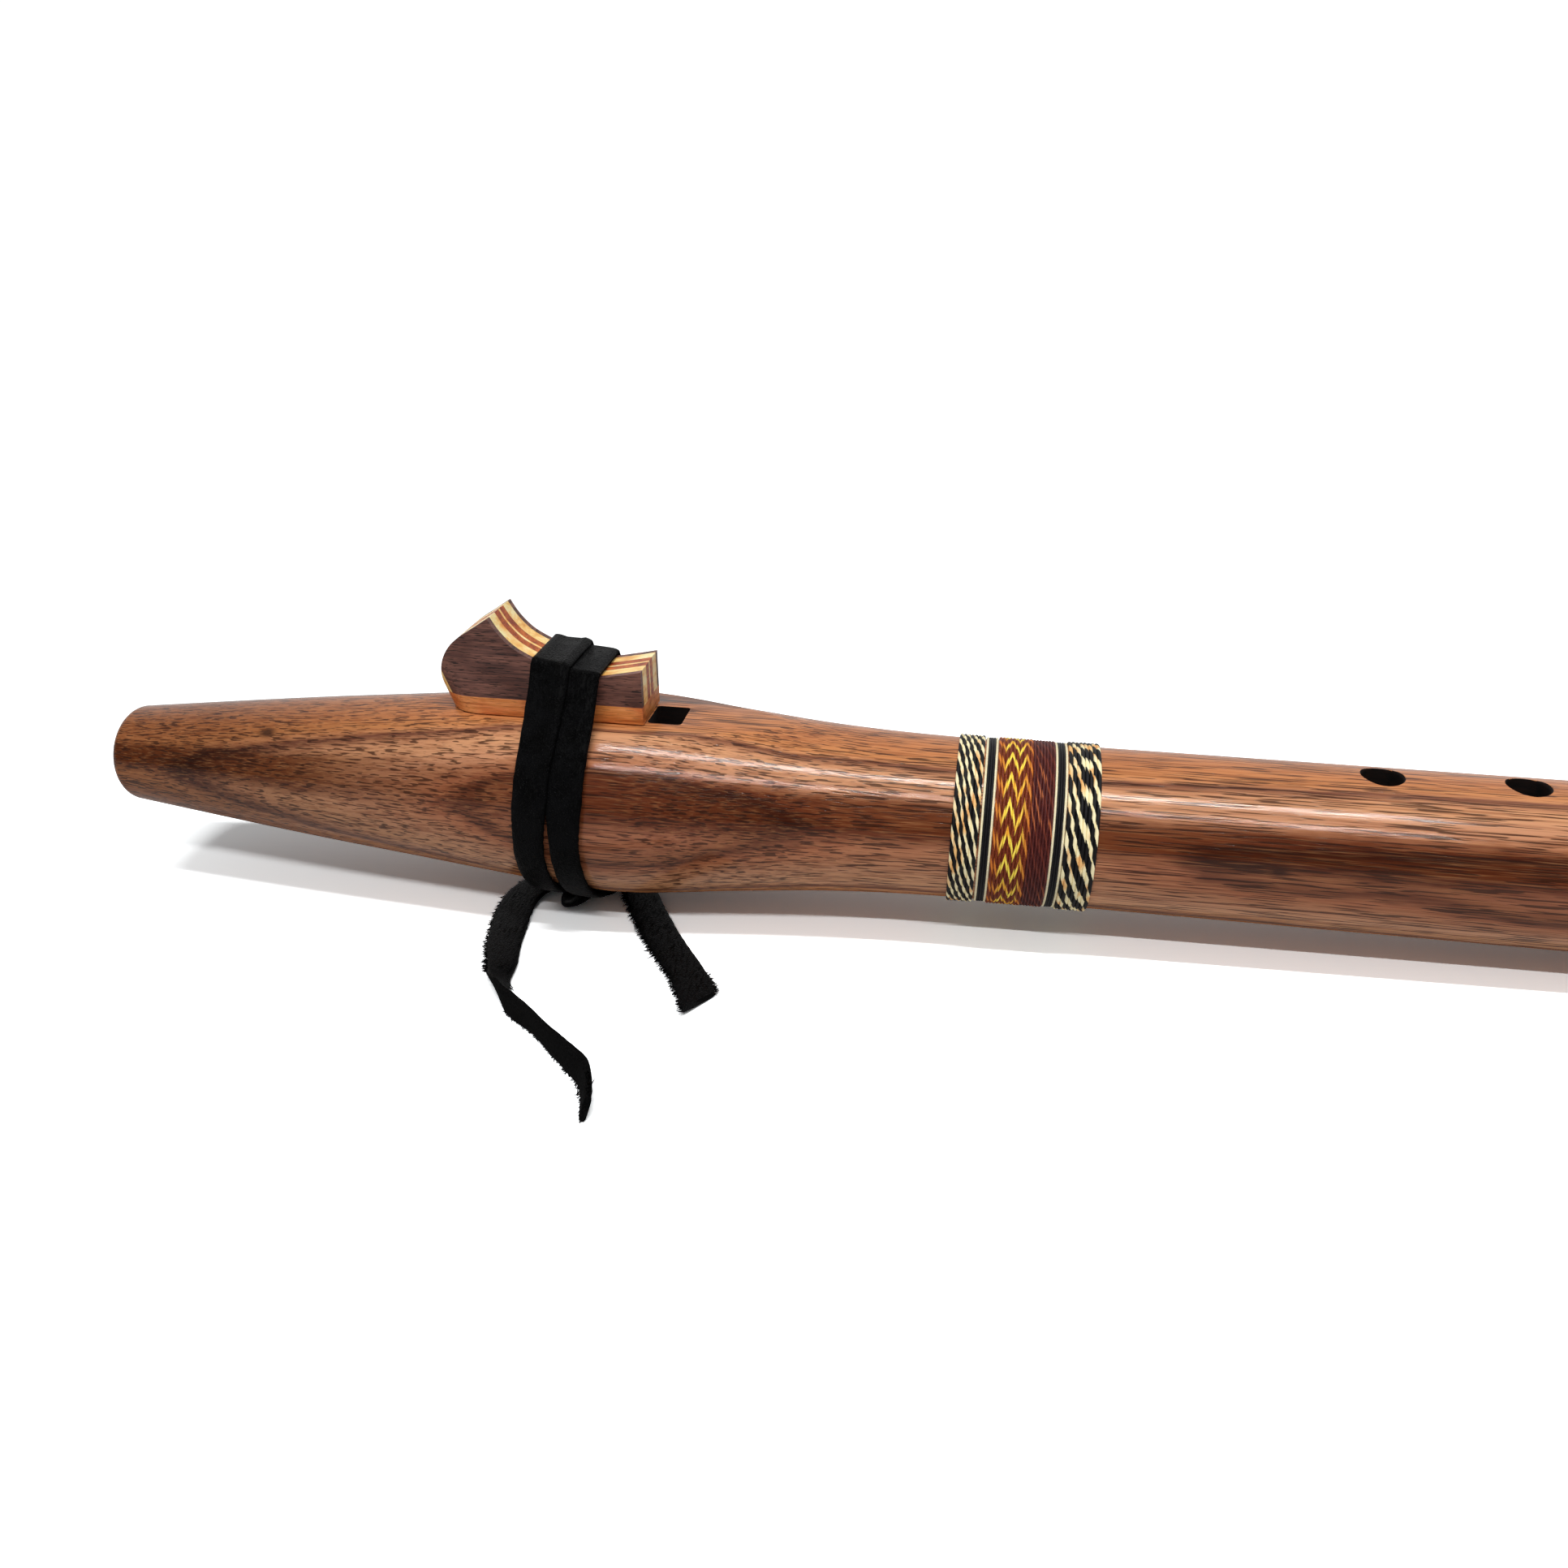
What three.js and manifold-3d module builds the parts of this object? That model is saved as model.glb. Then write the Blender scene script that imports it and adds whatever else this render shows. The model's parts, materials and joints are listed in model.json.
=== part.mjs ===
// A six-hole duct flute with a tied block, in millimetres, +Z up.
// The flute's own frame has +X from the mouth end to the foot, on the bore's axis, and +Z square to
// the nest. The last section turns that frame to the way the flute lies: on its knot and its foot.

import * as THREE from 'three';
import { mergeVertices } from 'three/addons/utils/BufferGeometryUtils.js';
import Module from 'manifold-3d';

const wasm = await Module();
wasm.setup();

// Body: a blank sawn in two, routed, glued and turned
const bodyLength = 520;
const barrelRadius = 15.9;
const mouthRadius = 10.2;
const swellX = 111;
const swellRadius = 21.2;
const shoulderLength = 89;
const mouthRound = 2.4;
const footChamfer = 0.8;
const nestHeight = 17.9;

// How far the head has swollen, along its length, and how far the shoulder has still to fall
const headShares = [[0, 0], [0.18, 0.21], [0.405, 0.46], [0.64, 0.69], [0.8, 0.85], [0.92, 0.955], [1, 1]];
const shoulderShares = [
  [0, 1], [0.08, 0.94], [0.17, 0.79], [0.265, 0.6], [0.36, 0.44], [0.455, 0.285],
  [0.55, 0.17], [0.66, 0.08], [0.8, 0.025], [1, 0],
];

// Chambers, with the plug between them, and the sound hole
const boreRadius = 11.1;
const breathRadius = 4;
const breathLength = 14;
const airConeLength = 36;
const exitHoleLength = 6;
const flueLength = 30.8;
const flueWidth = 8.6;
const flueDepth = 0.9;
const soundHoleSetback = 0.2;
const soundHoleLength = 6.9;
const chamberLead = 2.8;
const edgeLip = 0.7;
const edgeRampLength = 6;

// Finger holes
const firstHoleRun = 139.4;
const holeSpacing = 25.15;
const handGap = 34;
const holesPerHand = 3;
const holeRadius = 3.65;
const holeRimRadius = 4.15;
const holeRimDepth = 0.5;

// Block, with its front a little past the widest point of the head
const blockLead = 7.6;
const blockLength = 42.2;
const blockHeight = 20.2;
const baseThickness = 3.6;
const cheekThickness = 1.3;
const paleLayerThickness = 2.7;
const redLayerThickness = 1.9;
const centreLayerThickness = 0.66;
const tailRoundLength = 7.5;
const tailRoundSlope = 0.37;

// The block's side view: along its length from the tail, and up from the nest
const saddleShares = [
  [1, 0.55], [0.9, 0.505], [0.749, 0.458], [0.583, 0.525],
  [0.486, 0.606], [0.391, 0.718], [0.325, 0.861], [0.284, 1],
];
const tailShares = [[0.284, 1], [0.216, 0.906], [0.09, 0.718], [0.024, 0.495], [0, 0.257], [0.026, 0]];

// Lace: one flat leather strip, twice round the body and over the block's saddle
const laceWidth = 7.2;
const laceThickness = 1.3;
const laceSetback = 18.6;
const laceDrift = 2;
const lacePitch = 7.75;
const laceCrossAngle = 22 * Math.PI / 180;
const laceEndAngle = 26 * Math.PI / 180;
const slideBack = 3;
const slideForward = 2;

// Knot under the body, between the two turns, flattened by the flute's weight
const knotLength = 17;
const knotWidth = 19;
const knotDepth = 3;
const knotHeight = 12;
const knotFlat = 0.5;

// Pads of leather in the knot: place across the flute, then length, width and height, as shares
const knotPadShares = [[0, 1, 0.66, 1], [0.25, 0.72, 0.5, 0.92], [-0.25, 0.72, 0.5, 0.92]];

// Thread wraps round the barrel
const threadDiameter = 0.6;
const threadPitch = 1.05;
const linePitch = 1.4;
const lineDiameter = 0.4;
const wrapLead = 19.8;
const wrapSpacing = 0.3;
const speckledTurns = 4.5;
const flameTurns = 6;
const burgundyTurns = 3;
const lineTurns = 1;
const turnSteps = 24;
const threadSides = 5;

// Fits and facets
const seatGap = 0.3;
const overrun = 5;
const bodySides = 48;
const boreSides = 32;
const holeSides = 20;
const headRings = 18;
const shoulderRings = 14;
const arcSteps = 4;
const curveSteps = 4;

// Sizes that follow from those above
const blockWidth = 2 * (cheekThickness + paleLayerThickness + redLayerThickness) + centreLayerThickness;
const blockFrontX = swellX + blockLead;
const blockTailX = blockFrontX - blockLength;
const blockBottomZ = nestHeight + seatGap;
const soundHoleX = blockFrontX + soundHoleSetback;
const soundChamberX = soundHoleX - chamberLead;
const airChamberEndX = soundHoleX - flueLength;
const airChamberX = breathLength + airConeLength;
const laceTopX = blockFrontX - laceSetback;
const laceSideX = laceTopX - laceDrift;
const knotX = laceSideX + lacePitch / 2;
const wrapStartX = swellX + shoulderLength - wrapLead;
const holeXs = [];
for (let i = 0; i < 2 * holesPerHand; i += 1) {
  const handExtra = i < holesPerHand ? 0 : handGap - holeSpacing;
  holeXs.push(soundHoleX + firstHoleRun + i * holeSpacing + handExtra);
}

// Smooth value between table rows, with the slope at each row taken from its neighbours
function fromShares(rows, t) {
  let i = 0;
  while (i < rows.length - 2 && t > rows[i + 1][0]) i += 1;
  const slopeAt = (k) => {
    const before = rows[Math.max(k - 1, 0)];
    const after = rows[Math.min(k + 1, rows.length - 1)];
    return (after[1] - before[1]) / (after[0] - before[0]);
  };
  const span = rows[i + 1][0] - rows[i][0];
  const u = Math.min(Math.max((t - rows[i][0]) / span, 0), 1);
  const a = u * u * (3 - 2 * u);
  const slopePart = slopeAt(i) * u * (1 - u) * (1 - u) - slopeAt(i + 1) * u * u * (1 - u);
  return rows[i][1] * (1 - a) + rows[i + 1][1] * a + slopePart * span;
}

function bodyRadiusAt(x) {
  if (x <= swellX) {
    return mouthRadius + (swellRadius - mouthRadius) * fromShares(headShares, x / swellX);
  }
  const t = Math.min((x - swellX) / shoulderLength, 1);
  return barrelRadius + (swellRadius - barrelRadius) * fromShares(shoulderShares, t);
}

// Closed, merged geometry, turned so that its faces point out
function tidy(geometry) {
  const bare = geometry.clone();
  bare.deleteAttribute('normal');
  bare.deleteAttribute('uv');
  const merged = mergeVertices(bare);
  const index = merged.index.array;
  const kept = [];
  let volume = 0;
  const corner = [new THREE.Vector3(), new THREE.Vector3(), new THREE.Vector3()];
  for (let i = 0; i < index.length; i += 3) {
    const [a, b, c] = [index[i], index[i + 1], index[i + 2]];
    if (a === b || b === c || c === a) continue;
    kept.push(a, b, c);
    [a, b, c].forEach((v, k) => corner[k].fromBufferAttribute(merged.attributes.position, v));
    volume += corner[0].dot(corner[1].clone().cross(corner[2]));
  }
  if (volume < 0) {
    for (let i = 0; i < kept.length; i += 3) {
      [kept[i], kept[i + 1]] = [kept[i + 1], kept[i]];
    }
  }
  merged.setIndex(kept);
  return merged;
}

function toSolid(geometry) {
  const closed = tidy(geometry);
  return new wasm.Manifold(new wasm.Mesh({
    numProp: 3,
    vertProperties: new Float32Array(closed.attributes.position.array),
    triVerts: new Uint32Array(closed.index.array),
  }));
}

function toGeometry(solid) {
  const mesh = solid.getMesh();
  const geometry = new THREE.BufferGeometry();
  geometry.setAttribute('position', new THREE.BufferAttribute(new Float32Array(mesh.vertProperties), 3));
  geometry.setIndex(Array.from(mesh.triVerts));
  return geometry;
}

// A turned form on the X axis, from rows of x and radius, with a flat facet underneath
function turned(rows, sides) {
  const points = rows.map(([x, radius]) => new THREE.Vector2(radius, x));
  const geometry = new THREE.LatheGeometry(points, sides);
  geometry.rotateZ(-Math.PI / 2);
  geometry.rotateX(Math.PI / sides);
  return geometry;
}

function box(x0, x1, y0, y1, z0, z1) {
  const geometry = new THREE.BoxGeometry(x1 - x0, y1 - y0, z1 - z0);
  geometry.translate((x0 + x1) / 2, (y0 + y1) / 2, (z0 + z1) / 2);
  return geometry;
}

// A side view in X and Z, given its thickness across the flute from y0 to y1
function acrossFlute(shape, y0, y1) {
  const options = { depth: y1 - y0, bevelEnabled: false, curveSegments: curveSteps };
  const geometry = new THREE.ExtrudeGeometry(shape, options);
  geometry.rotateX(Math.PI / 2);
  geometry.translate(0, y1, 0);
  return geometry;
}

// A strip or strand: one section carried along stations that each hold a point and two directions
function sweep(section, stations) {
  const vertices = [];
  const faces = [];
  const count = section.length;
  stations.forEach(({ point, wide, thick }) => {
    section.forEach(([a, b]) => {
      const v = point.clone().addScaledVector(wide, a).addScaledVector(thick, b);
      vertices.push(v.x, v.y, v.z);
    });
  });
  for (let s = 0; s < stations.length - 1; s += 1) {
    for (let k = 0; k < count; k += 1) {
      const next = (k + 1) % count;
      const a = s * count + k;
      const b = s * count + next;
      faces.push(a, b, b + count, a, b + count, a + count);
    }
  }
  const last = (stations.length - 1) * count;
  for (let k = 1; k < count - 1; k += 1) {
    faces.push(0, k + 1, k, last, last + k, last + k + 1);
  }
  const geometry = new THREE.BufferGeometry();
  geometry.setAttribute('position', new THREE.Float32BufferAttribute(vertices, 3));
  geometry.setIndex(faces);
  return tidy(geometry);
}

// Least distance between outline points of stations that lie more than a stated run apart
function leastGap(section, stations, run) {
  const lengths = [0];
  for (let s = 1; s < stations.length; s += 1) {
    lengths.push(lengths[s - 1] + stations[s].point.distanceTo(stations[s - 1].point));
  }
  const rings = stations.map(({ point, wide, thick }) => section.map(
    ([a, b]) => point.clone().addScaledVector(wide, a).addScaledVector(thick, b),
  ));
  let least = Infinity;
  for (let i = 0; i < rings.length; i += 1) {
    for (let j = i + 1; j < rings.length; j += 1) {
      if (lengths[j] - lengths[i] < run) continue;
      for (const p of rings[i]) {
        for (const q of rings[j]) least = Math.min(least, p.distanceTo(q));
      }
    }
  }
  return least;
}

// The whole turned body, still in one piece
function bodyOutline() {
  const rows = [[0, 0], [0, bodyRadiusAt(mouthRound) - mouthRound]];
  for (let i = 1; i < arcSteps; i += 1) {
    const angle = (i / arcSteps) * Math.PI / 2;
    rows.push([
      mouthRound * (1 - Math.cos(angle)),
      bodyRadiusAt(mouthRound) - mouthRound * (1 - Math.sin(angle)),
    ]);
  }
  for (let i = 0; i <= headRings; i += 1) {
    const x = mouthRound + (swellX - mouthRound) * i / headRings;
    rows.push([x, bodyRadiusAt(x)]);
  }
  for (let i = 1; i <= shoulderRings; i += 1) {
    const x = swellX + shoulderLength * i / shoulderRings;
    rows.push([x, bodyRadiusAt(x)]);
  }
  rows.push([bodyLength - footChamfer, barrelRadius]);
  rows.push([bodyLength, barrelRadius - footChamfer]);
  rows.push([bodyLength, 0]);
  return rows;
}

function airChamberCut() {
  return turned([
    [-overrun, 0], [-overrun, breathRadius], [breathLength, breathRadius],
    [airChamberX, boreRadius], [airChamberEndX, boreRadius], [airChamberEndX, 0],
  ], boreSides);
}

function soundChamberCut() {
  return turned([
    [soundChamberX, 0], [soundChamberX, boreRadius],
    [bodyLength + overrun, boreRadius], [bodyLength + overrun, 0],
  ], boreSides);
}

// The sound hole: square at the block, with a thin splitting edge in front that is ramped from below
function soundHoleCut() {
  const edgeX = soundHoleX + soundHoleLength;
  const shape = new THREE.Shape([
    new THREE.Vector2(soundHoleX, 0),
    new THREE.Vector2(edgeX + edgeRampLength, 0),
    new THREE.Vector2(edgeX + edgeRampLength, boreRadius - seatGap),
    new THREE.Vector2(edgeX, nestHeight - edgeLip),
    new THREE.Vector2(edgeX, nestHeight + overrun),
    new THREE.Vector2(soundHoleX, nestHeight + overrun),
  ]);
  return acrossFlute(shape, -flueWidth / 2, flueWidth / 2);
}

function exitHoleCut() {
  return box(
    airChamberEndX - exitHoleLength, airChamberEndX,
    -flueWidth / 2, flueWidth / 2, 0, nestHeight + overrun,
  );
}

// One finger hole, with its top rim eased, standing along +Z
function fingerHoleCut(x) {
  const rows = [
    [0, 0], [holeRadius, 0], [holeRadius, barrelRadius - holeRimDepth],
    [holeRimRadius, barrelRadius + seatGap], [holeRimRadius, barrelRadius + overrun],
    [0, barrelRadius + overrun],
  ];
  const geometry = new THREE.LatheGeometry(rows.map(([r, z]) => new THREE.Vector2(r, z)), holeSides);
  geometry.rotateX(Math.PI / 2);
  geometry.translate(x, 0, 0);
  return geometry;
}

function makeBodyHalves() {
  const reach = swellRadius + overrun;
  let solid = toSolid(turned(bodyOutline(), bodySides));
  solid = solid.subtract(toSolid(box(-overrun, bodyLength, -reach, reach, nestHeight, reach)));
  solid = solid.subtract(toSolid(airChamberCut()));
  solid = solid.subtract(toSolid(soundChamberCut()));
  const ends = [-overrun, bodyLength + overrun];
  const above = toSolid(box(...ends, -reach, reach, seatGap / 2, reach));
  const below = toSolid(box(...ends, -reach, reach, -reach, -seatGap / 2));
  let upper = solid.intersect(above);
  upper = upper.subtract(toSolid(soundHoleCut())).subtract(toSolid(exitHoleCut()));
  holeXs.forEach((x) => {
    upper = upper.subtract(toSolid(fingerHoleCut(x)));
  });
  return { upper: toGeometry(upper), lower: toGeometry(solid.intersect(below)) };
}

function blockPoint([along, up]) {
  return new THREE.Vector2(blockTailX + along * blockLength, blockBottomZ + up * blockHeight);
}

function blockSideShape() {
  const saddle = new THREE.SplineCurve(saddleShares.map(blockPoint)).getPoints(saddleShares.length * 2);
  const tail = new THREE.SplineCurve(tailShares.map(blockPoint)).getPoints(tailShares.length * 2);
  return new THREE.Shape([new THREE.Vector2(blockFrontX, blockBottomZ), ...saddle, ...tail.slice(1)]);
}

// Height of the block's top under the lace
function saddleHeightAt(x) {
  const curve = new THREE.SplineCurve(saddleShares.map(blockPoint));
  const points = curve.getPoints(saddleShares.length * turnSteps);
  let nearest = points[0];
  points.forEach((p) => {
    if (Math.abs(p.x - x) < Math.abs(nearest.x - x)) nearest = p;
  });
  return nearest.y;
}

// Plan view of the block, round at the tail, leaning back as it rises
function blockPlanSolid() {
  const shape = new THREE.Shape();
  const roundX = blockTailX + tailRoundLength + tailRoundSlope * baseThickness / 2;
  const front = blockFrontX + overrun;
  shape.moveTo(front, -blockWidth / 2 - overrun);
  shape.lineTo(front, blockWidth / 2 + overrun);
  shape.lineTo(roundX, blockWidth / 2 + overrun);
  shape.lineTo(roundX, blockWidth / 2);
  shape.absellipse(roundX, 0, tailRoundLength, blockWidth / 2, Math.PI / 2, 3 * Math.PI / 2, false, 0);
  shape.lineTo(roundX, -blockWidth / 2 - overrun);
  const geometry = new THREE.ExtrudeGeometry(shape, {
    depth: blockHeight + 2 * overrun, bevelEnabled: false, curveSegments: curveSteps * 4,
  });
  geometry.translate(0, 0, -overrun);
  const lean = new THREE.Matrix4().makeShear(0, 0, 0, 0, -tailRoundSlope, 0);
  geometry.applyMatrix4(lean);
  geometry.translate(0, 0, blockBottomZ);
  const wide = blockWidth / 2 + overrun;
  const topZ = blockBottomZ + blockHeight + overrun;
  const filler = box(roundX, front, -wide, wide, blockBottomZ - overrun, topZ);
  return toSolid(geometry).add(toSolid(filler));
}

function makeBlock() {
  const plan = blockPlanSolid();
  const side = blockSideShape();
  const front = blockFrontX + overrun;
  const tail = blockTailX - overrun;
  const half = blockWidth / 2;
  const layersBottomZ = blockBottomZ + baseThickness + seatGap;
  const layersTopZ = blockBottomZ + blockHeight + overrun;
  const baseZone = toSolid(box(tail, front, -half, half, blockBottomZ, blockBottomZ + baseThickness));
  const flue = toSolid(box(
    airChamberEndX - exitHoleLength, front, -flueWidth / 2, flueWidth / 2,
    blockBottomZ - overrun, blockBottomZ + flueDepth,
  ));
  const base = toSolid(acrossFlute(side, -half, half)).intersect(plan).intersect(baseZone).subtract(flue);
  const pieces = [{ name: 'block_base', geometry: toGeometry(base), look: 'cherry' }];
  const layers = [
    ['block_cheek_near', cheekThickness, 'walnutDark'],
    ['block_maple_near', paleLayerThickness, 'maple'],
    ['block_red_layer_near', redLayerThickness, 'redWood'],
    ['block_centre_line', centreLayerThickness, 'maple'],
    ['block_red_layer_far', redLayerThickness, 'redWood'],
    ['block_maple_far', paleLayerThickness, 'maple'],
    ['block_cheek_far', cheekThickness, 'walnutDark'],
  ];
  let y = -half;
  layers.forEach(([name, thickness, look]) => {
    const zone = toSolid(box(tail, front, y - overrun, y + thickness + overrun, layersBottomZ, layersTopZ));
    const layer = toSolid(acrossFlute(side, y, y + thickness)).intersect(plan).intersect(zone);
    pieces.push({ name, geometry: toGeometry(layer), look });
    y += thickness;
  });
  return pieces;
}

// The lace keeps clear of the body wherever the block slides
function laceCoverAt(x) {
  const half = laceWidth / 2;
  const slope = (bodyRadiusAt(x + half) - bodyRadiusAt(x - half)) / laceWidth;
  let radius = 0;
  for (let i = 0; i <= turnSteps; i += 1) {
    const across = -half + laceWidth * i / turnSteps;
    for (let k = 0; k <= turnSteps; k += 1) {
      const slide = -slideBack + (slideForward + slideBack) * k / turnSteps;
      radius = Math.max(radius, bodyRadiusAt(x + across + slide) - slope * across);
    }
  }
  return { radius: radius / Math.cos(Math.PI / turnSteps) + seatGap + laceThickness / 2, slope };
}

function saddleCoverAt(x) {
  const half = laceWidth / 2;
  const slope = (saddleHeightAt(x + half) - saddleHeightAt(x - half)) / laceWidth;
  let height = 0;
  for (let i = 0; i <= turnSteps; i += 1) {
    const across = -half + laceWidth * i / turnSteps;
    height = Math.max(height, saddleHeightAt(x + across) - slope * across);
  }
  return { height, slope };
}

// One turn of the lace, from under the body, up the far side, over the saddle and down the near side.
// Angles are from the top; each row holds an angle and whether it lies on the body or on the block's edge.
function laceTurn(turn) {
  const sideX = laceSideX + turn * lacePitch;
  const topX = laceTopX + turn * lacePitch;
  const cover = laceCoverAt(sideX);
  const saddle = saddleCoverAt(topX);
  const edgeY = blockWidth / 2;
  const reach = seatGap + laceThickness / 2;
  const edgeDistance = Math.hypot(edgeY, saddle.height);
  const leave = Math.atan2(edgeY, saddle.height) + Math.acos((cover.radius - reach) / edgeDistance);
  const rows = [];
  const bodyStep = 2 * Math.PI / turnSteps;
  const start = Math.PI - (turn === 0 ? laceEndAngle : laceCrossAngle);
  const end = Math.PI - (turn === 0 ? laceCrossAngle : laceEndAngle);
  const bodySteps = (from) => Math.ceil((from - leave) / bodyStep);
  for (let i = 0; i <= bodySteps(start); i += 1) {
    const angle = start + (leave - start) * i / bodySteps(start);
    rows.push({ angle, side: 1, edge: false });
  }
  for (let i = 0; i <= arcSteps; i += 1) {
    rows.push({ angle: leave * (1 - i / arcSteps), side: 1, edge: true });
  }
  for (let i = 0; i <= arcSteps; i += 1) {
    rows.push({ angle: leave * i / arcSteps, side: -1, edge: true });
  }
  for (let i = 0; i <= bodySteps(end); i += 1) {
    const angle = leave + (end - leave) * i / bodySteps(end);
    rows.push({ angle, side: -1, edge: false });
  }
  return rows.map(({ angle, side, edge }) => {
    const out = new THREE.Vector3(0, side * Math.sin(angle), Math.cos(angle));
    const point = edge
      ? new THREE.Vector3(topX, side * edgeY, saddle.height).addScaledVector(out, reach)
      : new THREE.Vector3(sideX, 0, 0).addScaledVector(out, cover.radius);
    const lie = edge
      ? new THREE.Vector3(1, 0, saddle.slope)
      : new THREE.Vector3(1, 0, 0).addScaledVector(out, cover.slope);
    return { point, lie, out };
  });
}

// Stations with square directions: along the strip, across it and through it
function squareUp(rows) {
  return rows.map(({ point, lie, out }, i) => {
    const before = rows[Math.max(i - 1, 0)].point;
    const after = rows[Math.min(i + 1, rows.length - 1)].point;
    const along = after.clone().sub(before).normalize();
    const wide = lie.clone().addScaledVector(along, -lie.dot(along)).normalize();
    const thick = wide.clone().cross(along).normalize();
    if (thick.dot(out) < 0) thick.negate();
    return { point, wide, thick };
  });
}

function stripSection(width, thickness) {
  const ease = thickness / 4;
  const [w, t] = [width / 2, thickness / 2];
  return [
    [-w, -t + ease], [-w + ease, -t], [w - ease, -t], [w, -t + ease],
    [w, t - ease], [w - ease, t], [-w + ease, t], [-w, t - ease],
  ];
}

function makeLaceWrap() {
  const [first, second] = [laceTurn(0), laceTurn(1)];
  const from = first[first.length - 1];
  const to = second[0];
  const crossing = [];
  const crossSteps = curveSteps;
  const radiusFrom = Math.hypot(from.point.y, from.point.z);
  const radiusTo = Math.hypot(to.point.y, to.point.z);
  for (let i = 1; i < crossSteps; i += 1) {
    const t = i / crossSteps;
    const angle = Math.PI - laceCrossAngle + 2 * laceCrossAngle * t;
    const out = new THREE.Vector3(0, -Math.sin(angle), Math.cos(angle));
    const radius = radiusFrom + (radiusTo - radiusFrom) * t;
    const x = from.point.x + (to.point.x - from.point.x) * t;
    crossing.push({
      point: new THREE.Vector3(x, 0, 0).addScaledVector(out, radius),
      lie: new THREE.Vector3(1, 0, 0), out,
    });
  }
  const stations = squareUp([...first, ...crossing, ...second]);
  const section = stripSection(laceWidth, laceThickness);
  console.log('lace: least gap to itself', leastGap(section, stations, 2 * swellRadius).toFixed(2));
  return sweep(section, stations);
}

// How low the lace reaches, and the floor under the knot, in the flute's frame
const laceLowRadius = laceCoverAt(laceSideX + lacePitch).radius + laceThickness / 2;
const knotFloorZ = -(laceLowRadius + seatGap + knotDepth);
const footContactX = bodyLength - footChamfer;
const footContactZ = -barrelRadius * Math.cos(Math.PI / bodySides);
const restAngle = Math.atan2(footContactZ - knotFloorZ, footContactX - knotX);

// The knot and the lace's loose ends stand in the table's frame, from the point under the knot's middle
function knotPads(grow) {
  const pads = knotPadShares.map(([across, length, width, height]) => {
    const pad = new THREE.SphereGeometry(1, turnSteps, turnSteps / 2);
    pad.scale(
      knotLength * length / 2 + grow,
      knotWidth * width / 2 + grow,
      knotHeight * height / 2 + grow,
    );
    pad.translate(0, knotWidth * across, knotHeight * height / 2 - knotFlat);
    return toSolid(pad);
  });
  return wasm.Manifold.union(pads);
}

function makeKnot() {
  const clearRadius = laceLowRadius + seatGap;
  const clear = turned([
    [-knotLength, 0], [-knotLength, clearRadius], [knotLength, clearRadius], [knotLength, 0],
  ], bodySides);
  clear.translate(0, 0, -knotFloorZ);
  clear.rotateY(restAngle);
  const under = box(-knotLength, knotLength, -knotWidth, knotWidth, -knotHeight, 0);
  return toGeometry(knotPads(0).subtract(toSolid(clear)).subtract(toSolid(under)));
}

// A run of thread: one unbroken strand wound round the barrel
function makeWinding(startX, turns, pitch, diameter, name) {
  const steps = Math.round(turns * turnSteps);
  const section = [];
  for (let k = 0; k < threadSides; k += 1) {
    const angle = 2 * Math.PI * k / threadSides;
    section.push([Math.cos(angle) * diameter / 2, Math.sin(angle) * diameter / 2]);
  }
  const stations = [];
  for (let i = 0; i <= steps; i += 1) {
    const angle = 2 * Math.PI * i / turnSteps;
    const x = startX + diameter / 2 + pitch * i / turnSteps;
    const thick = new THREE.Vector3(0, Math.sin(angle), Math.cos(angle));
    const seat = bodyRadiusAt(x - diameter) + seatGap + diameter / 2;
    const radius = seat / Math.cos(Math.PI / turnSteps);
    stations.push({
      point: new THREE.Vector3(x, 0, 0).addScaledVector(thick, radius),
      wide: new THREE.Vector3(1, 0, 0), thick,
    });
  }
  const gap = turns > 1 ? leastGap(section, stations, barrelRadius * Math.PI) : pitch - diameter;
  console.log(`${name}: least gap to itself`, gap.toFixed(2));
  return sweep(section, stations);
}

function makeWrap() {
  const pieces = [];
  let x = wrapStartX;
  const wind = (name, turns, look) => {
    pieces.push({ name, look, geometry: makeWinding(x, turns, threadPitch, threadDiameter, name) });
    x += turns * threadPitch + threadDiameter + wrapSpacing;
  };
  const lines = (place) => {
    const cream = `thread_cream_${place}`;
    const black = `thread_black_${place}`;
    const blackX = x + linePitch / 2;
    const line = (startX, name) => makeWinding(startX, lineTurns, linePitch, lineDiameter, name);
    pieces.push({ name: cream, look: 'cream', geometry: line(x, cream) });
    pieces.push({ name: black, look: 'black', geometry: line(blackX, black) });
    x = blackX + linePitch + lineDiameter + wrapSpacing;
  };
  wind('thread_speckled_rear', speckledTurns, 'speckled');
  lines('rear');
  wind('thread_flame', flameTurns, 'flame');
  wind('thread_burgundy', burgundyTurns, 'burgundy');
  lines('front');
  wind('thread_speckled_front', speckledTurns, 'speckled');
  console.log('thread wraps end at x', x.toFixed(2));
  return pieces;
}

// Loose ends of the lace on the table, from inside the knot: x and y from the point under its middle,
// clearance under the strip's lower edge, and how far its outer edge has turned up, in degrees
const leftTailRoute = [
  [-2.4, 1.2, 1.6, 0], [-7.5, 0.9, 1.3, 0], [-11.3, -1.6, 0.9, 0], [-13, -6.3, 0.5, 0],
  [-12.7, -12.4, 0.25, 0], [-11.5, -18, 0.2, 2], [-10.1, -24, 0.15, 6], [-8.4, -30.2, 0.15, 16],
  [-6.6, -35.3, 0.15, 40], [-4.8, -39.7, 0.15, 65], [-2.4, -43.3, 0.15, 84], [0.6, -45.7, 0.15, 90],
  [5, -48.9, 0.15, 86], [9.4, -52.9, 0.15, 88], [13, -56, 0.15, 93], [16.2, -58.8, 0.15, 98],
  [19.2, -61.6, 0.15, 104], [20.9, -65, 0.15, 108], [22.2, -69.6, 0.15, 112],
];
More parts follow.
